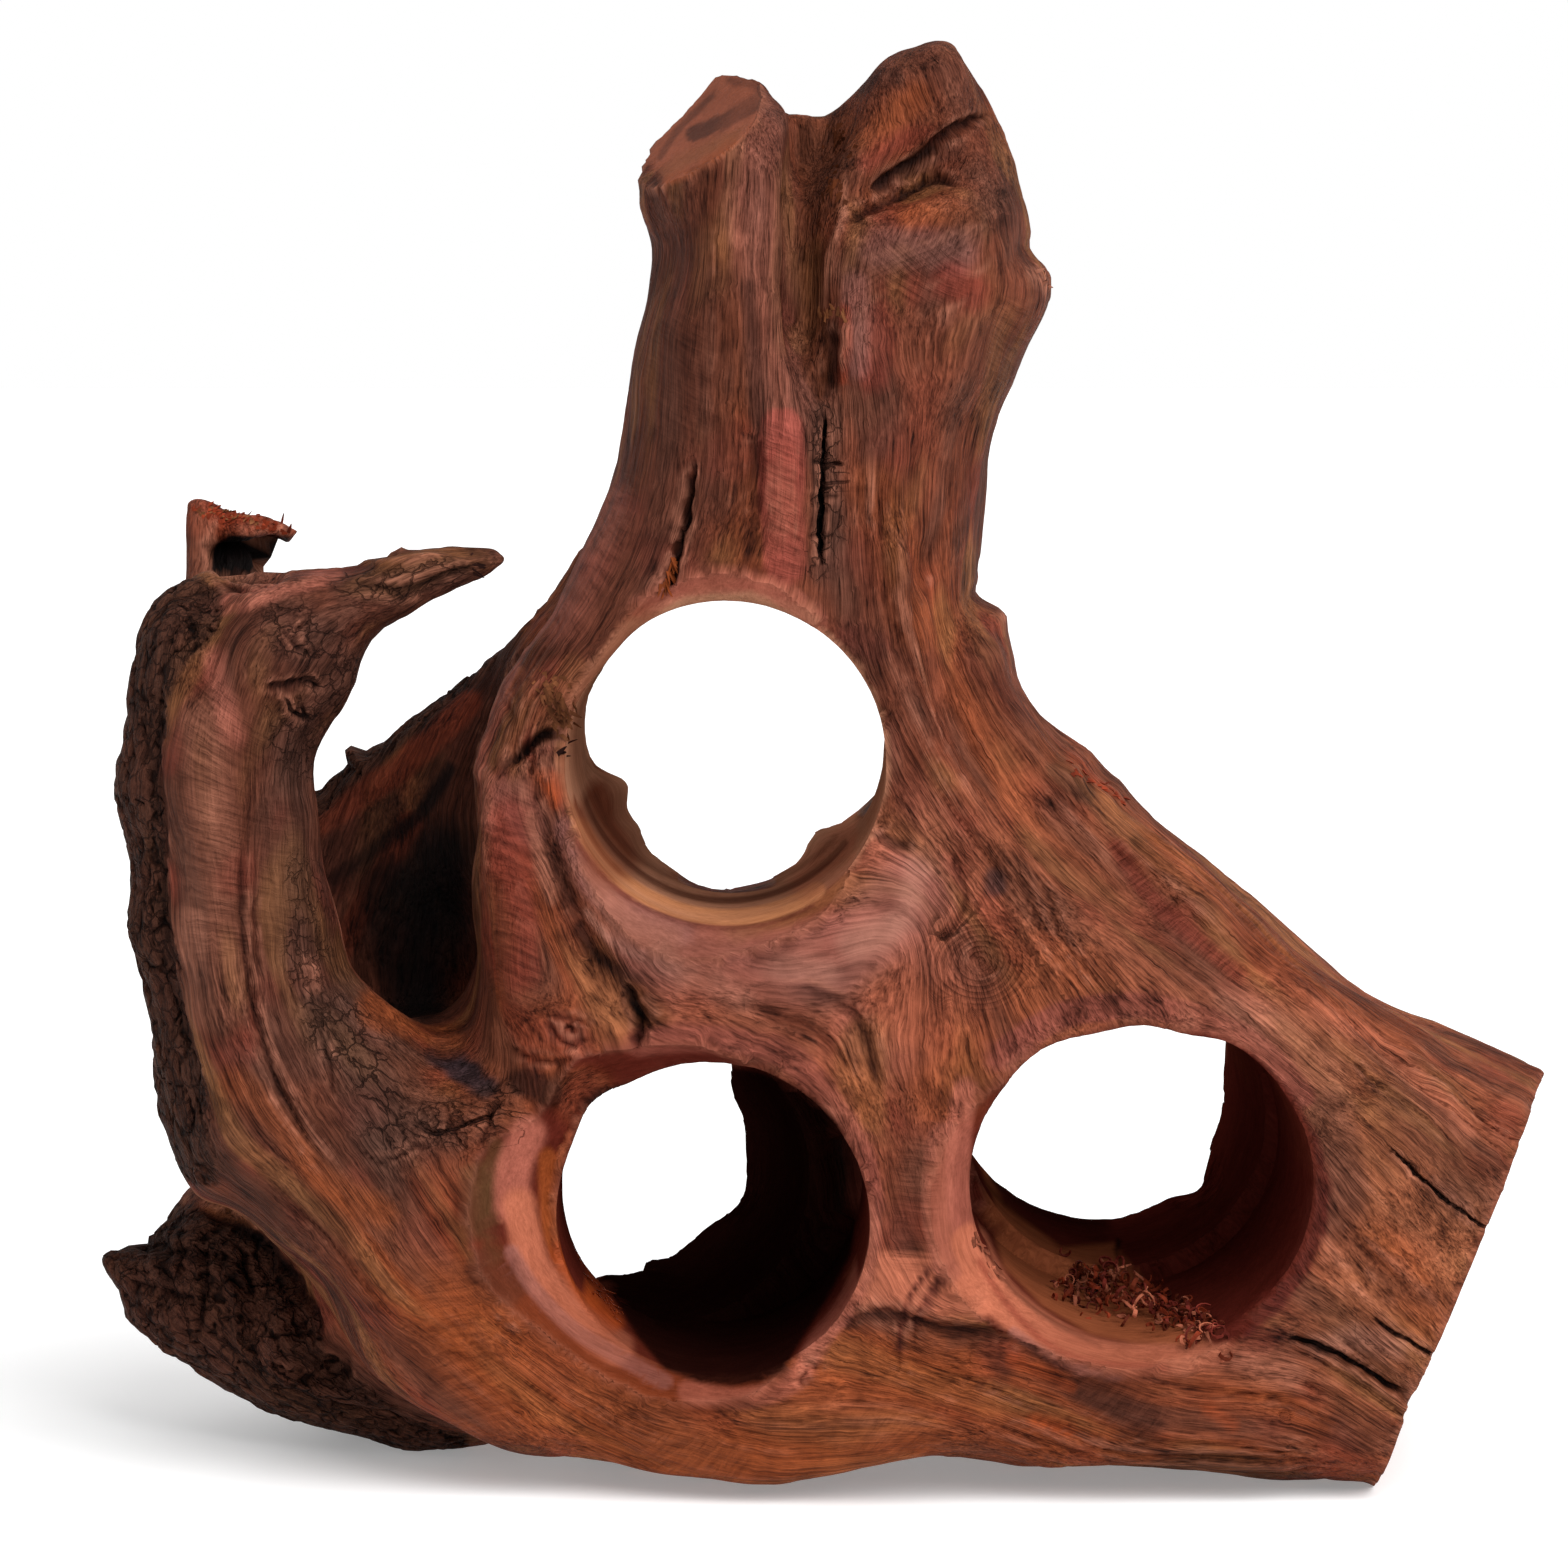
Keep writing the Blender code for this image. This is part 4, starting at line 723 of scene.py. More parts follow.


# Each stain is (tone, strength, half width, soft edge, [sight places]). Those in the first list lie
# on the near wood, those in the second on what lies behind it, and rim_stains on the holes' rims.
# Most rows are the wood's own stains, but dark and near-black rows that run along carved grooves,
# folds, pits and cracks are painted shade, and pale rows along ridges, with the sheen rows, are
# painted highlights.
stains_shade_highlights = [
    ("dull", 0.6, 9, 4, [(-22, 120), (-22, 95), (-24, 70), (-28, 50)]),
    ("rosy", 0.6, 6.5, 2.5, [(-5, 137), (-6, 120), (-3, 105), (-1, 90), (0, 78)]),
    ("dull", 0.5, 5, 3, [(-12, 104), (-13, 85), (-13, 60)]),
    ("trunk", 0.7, 12, 3, [(20, 146), (30, 148), (34, 140)]),
    ("orange", 0.45, 3, 2, [(17, 134), (22, 139), (28, 144)]),
    ("dull", 0.7, 4, 3, [(26, 152), (34, 150), (38, 142)]),
    ("red", 0.5, 2.2, 1.5, [(17, 130), (24, 134), (30, 136)]),
    ("dull", 0.8, 2.2, 1, [(20, 125.5), (28, 130), (36, 133)]),
    ("orange", 0.5, 2.5, 1.5, [(26, 118.5), (32, 119), (38, 119)]),
    ("lilac", 0.6, 4, 2, [(20, 112), (28, 112), (37, 111)]),
    ("grey", 0.5, 4, 3, [(12, 108), (24, 110), (38, 116), (46, 126)]),
    ("red", 0.7, 4, 2, [(35, 105), (40, 103)]),
    ("red", 0.6, 3, 1.5, [(20, 98), (20, 90), (19, 85)]),
    ("lilac", 0.6, 3, 1.5, [(15, 104), (15, 95), (15, 88)]),
    ("dull", 0.6, 5, 3, [(42, 94), (46, 86)]),
    ("trunk", 0.5, 5, 3, [(32, 92), (30, 80), (30, 66)]),
    ("light", 0.7, 1.6, 0.8, [(52, 107), (55, 104)]),
    ("dark", 0.8, 2.4, 1.2, [(13, 146), (18, 147), (23, 148)]),
    # Painted highlight along the raised ridge beside the split.
    ("light", 0.8, 0.7, 0.4, [(13, 127), (12, 118), (10, 112), (9, 106), (8, 100)]),
    ("ember", 0.6, 1.2, 0.6, [(12.8, 99), (12.8, 92), (12.2, 85)]),
    ("shade_black", 0.75, 2.0, 1.0, [(9.5, 96), (9.5, 88), (9, 82)]),
    ("dark", 0.55, 1.6, 1.0, [(-7, 104), (-6.5, 92), (-6, 80), (-5, 75)]),
    ("dark", 0.35, 1.4, 1.0, [(-6, 72), (-6.5, 60), (-7, 48)]),
    ("rose", 0.75, 4.5, 0.7, [(-0.5, 74), (-0.5, 60), (0, 46)]),
    ("grey", 0.5, 3.4, 1.5, [(9.5, 78), (9.5, 62), (9, 44)]),
    ("orange", 0.5, 5, 3, [(19, 62), (24, 46), (28, 33)]),
    ("maroon", 0.8, 3, 1.2, [(14, 30.5), (20, 28.5)]),
    ("pink", 0.6, 5, 3, [(-37, 58), (-41, 46), (-47, 34)]),
    ("maroon", 0.7, 1.8, 1, [(-33, 59), (-32, 58)]),
    ("dark", 0.6, 1.3, 0.6, [(-29, 52.5), (-28, 52)]),
    ("dark", 0.6, 1.2, 0.6, [(-27, 45.5), (-26.5, 45)]),
    ("dark", 0.6, 0.9, 0.5, [(-27, 74), (-27, 72)]),
    ("pink", 0.8, 2.4, 0.8, [(-30, 37), (-24, 40), (-18, 41.5), (-9, 42.5), (-3, 41), (3, 37.5),
                             (7, 34)]),
    ("pink", 0.85, 1.8, 0.8, [(-47, 38), (-52, 33), (-57, 25), (-60, 17), (-63, 10), (-64, 4),
                              (-62, 0), (-62, -8)]),
    # Painted shade: the dark strip left of the ridge, where the pocket's shade falls.
    ("dark", 0.7, 3.4, 1.2, [(-59, 32), (-64, 22), (-68, 8), (-68, -10), (-67, -30)]),
    ("tan", 0.7, 3, 1.2, [(-44, 24), (-47, 18), (-50, 12)]),
    ("shade_black", 0.95, 1.1, 0.6, [(-58, 4), (-55, 6.5), (-52, 9), (-48.5, 10.5), (-47, 9)]),
    ("glow", 0.85, 2.2, 1, [(-49, 1), (-47.5, -3)]),
    ("lilac", 0.5, 4, 2, [(-57, -2), (-53, -9)]),
    ("red", 0.6, 5, 2, [(-57, -8), (-57, -22), (-56, -38)]),
    ("lilac", 0.9, 3, 1.2, [(-45, -10), (-41, -19), (-33, -27), (-22, -31)]),
    ("dull", 0.6, 1.6, 1.2, [(-50, -4), (-49, -12), (-47, -20), (-44.5, -27)]),
    # Painted shade down the fold left of the upper hole.
    ("dark", 0.8, 1.3, 1.0, [(-43, -30), (-39, -36), (-35, -39), (-31, -41)]),
    # Painted highlight on the rise beside the fold.
    ("light", 0.6, 1.3, 1.0, [(-53, -7), (-51, -16), (-48.5, -24)]),
    ("painted_sheen", 0.5, 1.0, 0.8, [(-41, -27), (-36, -33), (-30, -36)]),
    # Painted shade deeper in the same fold.
    ("dark", 0.8, 1.1, 0.6, [(-34, -41), (-32, -45), (-30, -49), (-31, -54)]),
    ("groove", 0.6, 2.6, 1, [(-30, -42), (-27, -47), (-26, -50)]),
    ("lilac", 0.5, 8, 3, [(-28, -33), (-14, -38), (0, -39), (14, -34), (27, -22)]),
    ("painted_sheen", 0.35, 2.6, 2, [(-14, -42), (-9, -45)]),
    ("painted_sheen", 0.3, 2.6, 2, [(0, -38), (9, -39)]),
    ("painted_sheen", 0.45, 3.0, 2, [(14, -34), (22, -31)]),
    ("painted_sheen", 0.3, 2.6, 2, [(25, -28), (28, -18)]),
    ("painted_sheen", 0.25, 2.4, 2, [(-26, -36), (-20, -40)]),
    ("light", 0.5, 3.0, 2, [(-40, -18), (-34, -28), (-24, -32)]),
    ("groove", 0.6, 3.4, 1.5, [(22, -5), (25, -10)]),
    ("dark", 0.7, 1.1, 0.6, [(20, -10.5), (23, -12.5), (27, -13)]),
    ("orange", 0.35, 7, 4, [(-16, -46), (4, -54), (14, -66)]),
    ("orange", 0.4, 8, 4, [(24, -46), (36, -54), (34, -64)]),
    ("dark", 0.6, 5, 3, [(39, -35), (43, -39)]),
    ("slate", 0.85, 2.3, 1, [(44, -20), (44.2, -21.5)]),
    ("red", 0.5, 3, 2, [(38, -7), (36, -3)]),
    ("red", 0.4, 3, 2, [(43, -26), (46, -29)]),
    ("red", 0.8, 1.8, 1.2, [(70, -13), (74, -20), (80, -27), (88, -34), (95, -40)]),
    ("olive", 0.6, 2, 1, [(74, -12), (82, -20), (90, -27)]),
    ("ember", 0.6, 2, 1.2, [(61, 5), (66, 1), (70, -1)]),
    ("olive", 0.6, 2, 1, [(57, 3), (63, -2)]),
    ("dull", 0.5, 5, 3, [(42, 26), (50, 12), (60, 0)]),
    ("dull", 0.35, 9, 5, [(60, -12), (72, -26), (84, -40)]),
    ("orange", 0.4, 4, 3, [(78, -12), (92, -24), (106, -36)]),
    ("light", 0.6, 5, 3, [(95, -48), (112, -60), (114, -78), (118, -96)]),
    ("tan", 0.5, 14, 6, [(116, -60), (134, -84), (124, -116)]),
    ("orange", 0.6, 5, 3, [(118, -94), (130, -102), (134, -112)]),
    # Painted highlight: an orange-pink streak along the right end's upper ridge.
    ("flesh", 0.75, 2.4, 1.5, [(112, -47), (124, -54), (134, -63), (142, -72)]),
    ("dark", 0.6, 2.6, 1.5, [(112, -38), (126, -46), (142, -53), (156, -60)]),
    ("slate", 0.35, 2.2, 1.5, [(136, -84), (142, -88)]),
    ("glow", 0.35, 4, 3, [(100, -36), (118, -46), (130, -52)]),
    ("painted_sheen", 0.4, 2.4, 2, [(112, -118), (120, -116), (128, -118)]),
    ("light", 0.6, 3, 2, [(86, -121), (96, -122), (106, -124)]),
    ("dull", 0.65, 4.5, 2, [(114, -68), (117, -78), (117, -90)]),
    ("dull", 0.5, 4, 2.5, [(128, -68), (136, -76), (146, -84)]),
    ("dull", 0.6, 2, 1.2, [(113, -92), (120, -97), (127, -104), (135, -107)]),
    ("dark", 0.8, 1.4, 0.8, [(103, -114.5), (106, -116)]),
    ("orange", 0.6, 3, 2, [(88, -124), (100, -128), (112, -133)]),
    ("dark", 0.6, 3, 2, [(80, -143), (100, -146), (116, -148)]),
    ("orange", 0.55, 14, 6, [(-62, -112), (-34, -130), (0, -136), (30, -126)]),
    ("flesh", 0.95, 6, 1.0, [(19, -104), (30, -104.5), (40, -106)]),
    ("maroon", 0.9, 0.6, 0.4, [(31, -101), (27, -106), (25, -112), (24, -118)]),
    ("maroon", 0.9, 0.6, 0.4, [(34, -101), (30, -107), (27.5, -113)]),
    ("maroon", 0.8, 0.6, 0.4, [(37, -99), (33, -104), (30, -110)]),
    ("dark", 0.7, 1.5, 0.8, [(12, -113), (20, -111.5), (28, -113), (36, -114.5), (45, -115.5)]),
    ("dark", 0.7, 2.2, 1.4, [(36, -116), (42, -118), (46, -123)]),
    ("dark", 0.75, 4.2, 2, [(63, -126), (69, -129), (76, -134)]),
    ("glow", 0.5, 1.4, 1, [(48, -120.5), (54, -123), (60, -126)]),
    ("glow", 0.5, 2, 1.2, [(53, -133), (59, -135)]),
    ("glow", 0.5, 1.4, 1, [(89, -131), (94, -134)]),
    ("groove", 0.5, 3, 2, [(70, -140), (90, -141), (108, -142)]),
    ("olive", 0.7, 3.2, 1.4, [(-64, -82), (-63.5, -92)]),
    ("dull", 0.8, 3.6, 1.2, [(-63, -101), (-57, -105)]),
    ("light", 0.36, 5, 3, [(-122, 12), (-120, -6), (-120, -26), (-119, -46)]),
    # Painted highlight on the horn's outer rib.
    ("light", 0.5, 2.6, 1.5, [(-124, -28), (-124, -36)]),
    ("grey", 0.6, 6, 2.5, [(-104, 10), (-105, -20), (-104, -40), (-100, -56)]),
    ("dark", 0.45, 4, 3, [(-101, 18), (-100, -4), (-97, -28), (-91, -44)]),
    ("dark", 0.4, 4, 3, [(-80, 35), (-88, 27), (-96, 14), (-98, 4)]),
    ("dark", 0.3, 9, 5, [(-106, 32), (-99, 24), (-99, 12)]),
    ("dark", 0.5, 5, 3, [(-84, 42), (-72, 46), (-63, 48)]),
    ("pink", 0.7, 1.8, 1, [(-119, 37), (-112, 38.5), (-100, 42), (-94, 44)]),
    ("pink", 0.6, 2.4, 1.5, [(-119, 26), (-118, 20), (-115, 10)]),
    ("orange", 0.5, 3, 2, [(-115, -62), (-105, -72), (-97, -82), (-84, -90)]),
    ("grey", 0.6, 9, 4, [(-91, -50), (-84, -62), (-80, -72)]),
    ("slate", 0.9, 2.8, 1.2, [(-72, -56), (-66, -61), (-63, -63)]),
    ("dark", 0.85, 3.2, 1.2, [(-54, -62.5), (-49, -65)]),
    ("orange", 0.7, 4, 2, [(-85, -47), (-76, -50), (-71, -53)]),
    # Painted highlight on the small raised knob.
    ("light", 0.5, 2.2, 1, [(-99.5, -38), (-98.5, -42)]),
    ("tan", 0.6, 1.2, 0.7, [(-92, 47), (-80, 47), (-68, 49)]),
    ("dull", 0.7, 4, 2, [(-92, 36), (-82, 40), (-70, 42)]),
    ("dull", 0.6, 8, 4, [(-104, 30), (-96, 26), (-98, 14)]),
    ("maroon", 0.5, 3, 1.5, [(-47, -50.5), (-44, -52)]),
]
far_stains_and_shade = [
    # Painted shade: the near-black and dark rows fill the dark pocket beside the pillar, where only
    # shade shows; the plank rows are the wood's own tones, and the ember and trunk rows colour the
    # stub's top.
    ("shade_black", 0.8, 1.6, 0.6, [(-97, -4), (-86, 5), (-74, 14), (-64, 26)]),
    ("dark", 0.85, 12, 4, [(-92, -2), (-78, -30), (-70, -20), (-62, 20)]),
    ("plank", 0.8, 2.8, 0.8, [(-97, -8), (-85, 0), (-75, 8), (-66, 17)]),
    ("plank", 0.7, 2.6, 0.8, [(-93, -35), (-85, -20), (-78, -8)]),
    ("shade_black", 0.9, 1.6, 0.8, [(-96, -21), (-90, -17), (-85, -13), (-76, -6), (-70, 3)]),
    ("shade_black", 0.95, 7, 3, [(-82, -22), (-80, -36), (-78, -44)]),
    ("shade_black", 0.95, 6, 3, [(-72, -14), (-72, -30), (-74, -44)]),
    ("ember", 0.85, 5, 2, [(-123, 57), (-115, 55), (-106, 54)]),
    ("trunk", 0.8, 2.4, 1, [(-123, 55), (-123, 44)]),
]
rim_stains = [
    ("peach", 0.95, 1.7, 0.4, arc((-12, 6), 33.9, 206, 304)),
    ("peach", 0.7, 0.9, 0.5, arc((-12, 6), 34.4, 176, 206)),
    ("maroon", 0.6, 0.5, 0.3, arc((-12, 6), 36.2, 184, 300)),
    ("olive", 0.7, 2.0, 1.0, [(-60, -76), (-62.5, -88), (-60.5, -99)]),
    ("pink", 0.85, 3.6, 1.3, [(-53.5, -73), (-56.5, -80), (-57, -88)]),
    ("flesh", 0.9, 3.4, 1.3, [(-55.5, -88), (-52, -101), (-44, -111), (-35, -118)]),
    ("orange", 0.85, 1.8, 0.7, [(-49.5, -78), (-49, -92), (-46, -100), (-40, -108)]),
    ("glow", 0.8, 2.6, 1.2, [(-46, -98), (-41, -106), (-36, -112)]),
    ("lilac", 0.85, 1.6, 0.6, [(-57, -98), (-52, -106), (-44, -114), (-34, -120), (-25, -125)]),
    ("pink", 0.7, 2.2, 0.8, [(-20, -127), (-8, -128.5), (2, -125), (7, -117), (13, -109),
                             (17, -101), (18, -90)]),
    ("rim", 0.9, 3.0, 0.8, [(18, -88), (16, -78), (12, -70), (7, -63), (0, -56.5), (-10, -54),
                            (-20, -53), (-30, -54)]),
    ("rim", 0.9, 3.0, 0.8, [(45, -57), (55, -50), (62, -47.5), (75, -46.5), (88, -49.5), (100, -56),
                            (108, -65)]),
    ("mid", 0.95, 3.2, 0.8, [(33.5, -74), (32.2, -84), (32.4, -93), (34.5, -101)]),
    ("pink", 0.7, 2.6, 0.8, [(38, -64), (36.5, -75), (37, -90), (40, -98)]),
    ("flesh", 0.95, 4.0, 0.8, [(39, -96), (44, -106), (53, -114), (64, -119.5), (76, -120.5),
                               (90, -118)]),
    ("red", 0.6, 0.7, 0.5, [(41, -100), (46, -108), (55, -117), (65, -121), (80, -122)]),
    ("dark", 0.5, 0.5, 0.4, [(42, -97), (48, -106), (57, -113), (66, -117.5)]),
    ("lilac", 0.7, 1.0, 0.5, [(48, -114.5), (58, -121), (70, -124)]),
    ("pink", 0.7, 1.6, 0.6, [(111, -86), (108.5, -98), (102, -110)]),
]
tint = np.tile(paint("trunk"), (len(places), 1))
patchy = ripple(fibres, (14.0, 60.0, 14.0), 7)
frayed = 0.9 * ripple(fibres, (2.5, 12.0, 2.5), 8)
spots = in_sight(places)


def lay_on(tone, amount):
    """Every point takes on a tone by its own amount, 0 to 1."""
    tint[:] += (paint(tone) - tint) * amount[:, None]


def apply_tone_rows(rows, where, torn_edge=1.0):
    """Lays on tones along their lines, where asked, with edges torn along the fibres: stains, and
    also painted shade and highlights.
    """
    for tone, strength, half, soft, line in rows:
        path = smooth_path(line, 2.0)
        reach = half + soft + 2.0
        near = np.all(spots > path.min(0) - reach, axis=1)
        near &= np.all(spots < path.max(0) + reach, axis=1) & (where > 0)
        here = np.flatnonzero(near)
        gap, _, _, _ = beside_path(spots[here], path)
        gap = gap + frayed[here] * min(1.0, half * 0.5) * torn_edge
        amount = strength * (1 - step(gap, half - soft, half + soft)) * where[here]
        amount *= np.clip(0.85 + 0.6 * patchy[here], 0, 1)
        tint[here] += (paint(tone) - tint[here]) * amount[:, None]


everywhere = np.ones(len(places))
apply_tone_rows([
    ("prong", 1.0, 30, 10, [(34, 150), (34, 100), (30, 60)]),
    ("stem", 1.0, 20, 5, [(-16, 150), (-14, 100), (-20, 60), (-34, 40)]),
    ("trunk", 1.0, 16, 8, [(24, 60), (30, 30), (46, 0)]),
    ("mid", 0.9, 18, 9, [(-24, -34), (0, -42), (22, -40), (28, -20)]),
    ("limb", 1.0, 34, 14, [(70, -20), (104, -60), (130, -96)]),
    ("belly", 1.0, 22, 9, [(-70, -100), (-44, -128), (0, -136), (60, -136), (110, -142)]),
    ("horn", 1.0, 26, 10, [(-64, 50), (-104, 40), (-114, 0), (-112, -50), (-100, -76)]),
], everywhere)
lay_on("orange", 0.36 * step(patchy, 0.05, 0.5))
lay_on("dull", 0.45 * step(-patchy, 0.05, 0.5))
soaked = ripple(places, (12.0, 12.0, 12.0), 13)
lay_on("red", 0.35 * step(soaked, 0.1, 0.5))
faded = ripple(fibres, (7.0, 26.0, 7.0), 15)
lay_on("ochre", 0.5 * step(faded, 0.05, 0.45))
lay_on("grey", 0.45 * step(-faded, 0.08, 0.5))

# The walls of the holes. The upper hole's are pale, and the lower ones' stay in the dark.
upper_hole = np.hypot(spots[:, 0] + 12, spots[:, 1] - 8) < 48
deep = 1 - step(np.hypot(spots[:, 0] + 12, spots[:, 1] - 6), 34.2, 35.4)
lay_on("bore", 0.9 * walls * deep)
inner = step(-outside, -7.0, -3.0) * step(faces_in, -0.3, 0.2) * (fibres[:, 2] < 62)
inner = np.maximum(inner, walls) * ~upper_hole
lay_on("wine", 0.92 * inner)
on_front = in_view * near_layer * step(outward @ to_camera, -0.05, 0.3)
apply_tone_rows(stains_shade_highlights, on_front)
apply_tone_rows(far_stains_and_shade, in_view * (1 - near_layer), 0.4)
apply_tone_rows(rim_stains, in_view, 0.2)
apply_tone_rows([
    ("trunk", 0.85, 6, 3, [(-31, 32), (-38, 24), (-42.5, 14), (-43, 3), (-39, -8), (-36, -15)]),
    ("flesh", 0.45, 4, 2, [(5, -20), (12, -13), (17, -6)]),
    ("dull", 0.75, 0.7, 0.4, arc((-12, 7), 31.4, 195, 322)),
    ("dull", 0.4, 0.6, 0.4, arc((-12, 8), 29.6, 200, 320)),
], walls * upper_hole * in_view, 0.2)

# The sawn ends, the bark and the toe.
lay_on("sawn", 0.9 * cuts)
apply_tone_rows([
    ("dull", 0.9, 1.6, 0.5, [(-19, 136), (-13, 138.5), (-5, 143)]),
    ("dark", 0.8, 0.9, 0.4, [(-19, 128), (-15, 129.5), (-10, 131.5)]),
    ("tan", 0.6, 1.2, 0.6, [(-25, 128), (-18, 132), (-10, 136)]),
    ("dull", 0.6, 0.7, 0.4, [(-26, 131), (-22, 137), (-15, 144)]),
    ("orange", 0.6, 1.4, 0.6, [(-24, 126), (-17, 128.5), (-11, 134)]),
    ("dark", 0.7, 0.9, 0.5, [(-11, 147), (-6, 146), (-2, 142)]),
], cuts, 0.5)
lay_on("bark", 0.9 * bark)
lay_on("dull", 0.35 * bark * step(plates, 0.0, 0.5))
lay_on("grey", 0.3 * crazed)
# The toe: the near-black row lies in its hollow as painted shade; the rest are its own tones.
apply_tone_rows([
    ("shade_black", 0.85, 3.4, 1.6, [(-104, -122), (-97, -124), (-90, -125)]),
    ("dark", 0.6, 2.6, 1.4, [(-113, -97), (-112, -103), (-110, -109)]),
    ("trunk", 0.6, 1.3, 0.9, [(-116, -102), (-115, -111), (-112, -118), (-104, -119)]),
    ("trunk", 0.5, 2.0, 1.4, [(-126, -89), (-118, -92), (-110, -98)]),
], on_front)

# Ridges are lightened, partly as rubbed-pale wear and partly as a painted highlight, and hollows
# are darkened as painted shade, which takes a little less of the red. Sharp marks are then painted
# near-black, as shade in their crevices.
rough = 1 - 0.8 * smoothed
lay_on("light", 0.45 * step(-narrow, 0.03, 0.3) * rough * (1 - bark))
lay_on("light", 0.35 * step(-wide_dip, 0.3, 2.2) * rough * (1 - bark))
shade_hue = np.array([0.9, 1.0, 1.03])
tint *= 1 - (0.7 * step(narrow, 0.02, 0.42) * rough)[:, None] * shade_hue
tint *= 1 - (0.5 * step(wide_dip, 0.2, 2.6) * rough)[:, None] * shade_hue
lay_on("shade_black", 0.85 * crack_shade)

# The dark insides: both lower holes and the right one's floor, the broken stub's hollow, and the
# brown bark pocket between the stems. The left lower hole's inside, spots and lines in the right
# one, and the stub's hollow are painted near-black as shade.
left_dark = [(-36, -107), (-30.5, -116), (-25.1, -122.4), (-18, -125.2), (-11, -126),
             (-5, -125.2), (0, -122.8), (3.6, -116.5), (9, -108), (14, -98.5), (15.4, -88),
             (14.6, -79.5), (11.5, -71), (6.5, -66), (0, -62), (-6, -60), (-13, -58.8),
             (-40, -64), (-47, -84), (-45, -94)]
right_dark = [(88, -52), (98, -56), (106, -64), (112, -74), (114.5, -84), (113.5, -94),
              (110, -102), (104, -110), (97, -116), (90, -117.3), (80, -110), (74, -103),
              (70, -96.5), (62, -96), (50, -90), (42, -80), (47, -62), (56, -55)]
right_floor = [(41.5, -78), (42.5, -89), (46, -101), (54, -109), (64, -115), (74, -117),
               (88, -117), (80, -110), (74, -103), (69, -96), (58, -97), (46, -88)]
# Painted shade: the left lower hole's inside is painted near-black. The right one's walls take dark
# red, and its floor a paler tone.
lay_on("pitch", 0.94 * inside(spots, left_dark, 0.7) * in_view)
lay_on("wine", 0.9 * inside(spots, right_dark, 0.7) * in_view)
lay_on("floor", 0.9 * inside(spots, right_floor, 0.9) * in_view)
# Painted shade: near-black spots and lines in the right hole, along its floor's edge and where the
# floor meets the wall.
apply_tone_rows([
    ("shade_black", 0.9, 1.5, 0.5, [(86, -72.5), (86.6, -73.5)]),
    ("shade_black", 0.75, 0.6, 0.4, [(70, -95.5), (69.6, -98), (72, -102), (76, -105), (82, -109),
                              (90, -112)]),
    ("shade_black", 0.7, 2.4, 1.6, [(44, -84), (54, -90), (66, -93)]),
], in_view, 0.2)
# Painted shade: the broken stub's hollow is painted near-black.
stub_inside = np.maximum(in_view, fibres[:, 2] > -2.4) * (fibres[:, 2] < 42)
hollow = [(-120, 43), (-119.6, 49.5), (-116, 52.3), (-110, 51.8), (-103, 51.8), (-105, 48.5),
          (-107, 43)]
lay_on("shade_black", inside(spots, hollow, 0.5) * stub_inside)
split = [(3, 139.5), (3.2, 110), (3.4, 86), (7.5, 79.5), (9.5, 84), (8.8, 99.6), (11, 116),
         (13.6, 123.4), (16.7, 134.7), (14, 142), (8, 140)]
lay_on("groove", 0.5 * inside(spots, split, 0.6) * on_front * (1 - crack_shade))
colour = skin.attributes.new("tint", "FLOAT_COLOR", "POINT")
colour.data.foreach_set("color", np.c_[tint, np.ones(len(tint))].ravel())

# Scratches left by cleaning run across the fibres in patches: (strength, half width, line).
scratches = [
    (1.0, 6, [(-57, 33), (-58, 22)]), (1.0, 6, [(-57, -4), (-57, -22), (-56, -42)]),
    (0.8, 7, [(-36, 62), (-40, 48), (-46, 36)]), (1.0, 4.4, [(-0.5, 72), (0, 46)]),
    (1.0, 8, [(-121, 8), (-119, -10), (-118, -30)]), (0.6, 6, [(-106, -8), (-106, -30)]),
    (0.8, 5, [(28, -78), (27, -98)]), (0.9, 8, [(-70, -104), (-68, -118), (-64, -130)]),
    (1.0, 2.8, [(70, -13), (80, -27), (93, -39)]), (0.8, 3.0, [(90, -17), (106, -36)]),
    (0.9, 7, [(24, 108), (34, 106)]), (0.5, 9, [(-22, 92), (-22, 78)]),
    (0.8, 6, [(-24, -140), (-12, -143)]), (0.8, 5, [(64, -127), (76, -133)]),
    (0.7, 5, [(48, 98), (46, 88)]), (0.7, 5, [(-112, 8), (-120, 20)]),
    (0.6, 6, [(20, -135), (28, -136)]),
]
hatch = patches(scratches, spots, 3.0, 0.5, 1.2, 1.5 * frayed)
hatch *= on_front * (1 - bark)

# Growth rings show as fine contour lines round the knot and beside the folds:
# (half width, [sight places]).
ring = np.zeros(len(places))
ring_share = np.zeros(len(places))
knot_middle = np.array([41.0, -37.0])
knot_shape = np.array([1.0, 0.85])
ring_lines = [
    (6.0, [(47, -16), (50, -22), (54, -29), (58, -36), (65, -44)]),
    (5.0, [(-4, -46), (6, -49), (12, -54), (16, -62)]),
    (4.0, [(33, -12), (36, -19), (37, -25), (34, -30)]),
    (5.0, [(16, 104), (24, 108), (34, 113), (44, 121)]),
]
for half, line in ring_lines:
    gap, side, _, _ = beside_path(spots, smooth_path(line, 3.0))
    share = 1 - step(gap, half * 0.5, half)
    ring = np.where(share > ring_share, side + 40.0, ring)
    ring_share = np.maximum(ring_share, share)
swirl = np.linalg.norm((spots - knot_middle) / knot_shape, axis=1)
share = 1 - step(swirl, 9.0, 15.0)
ring = np.where(share > ring_share, swirl, ring)
ring_share = np.maximum(ring_share * (0.5 + 0.5 * patchy), share) * on_front

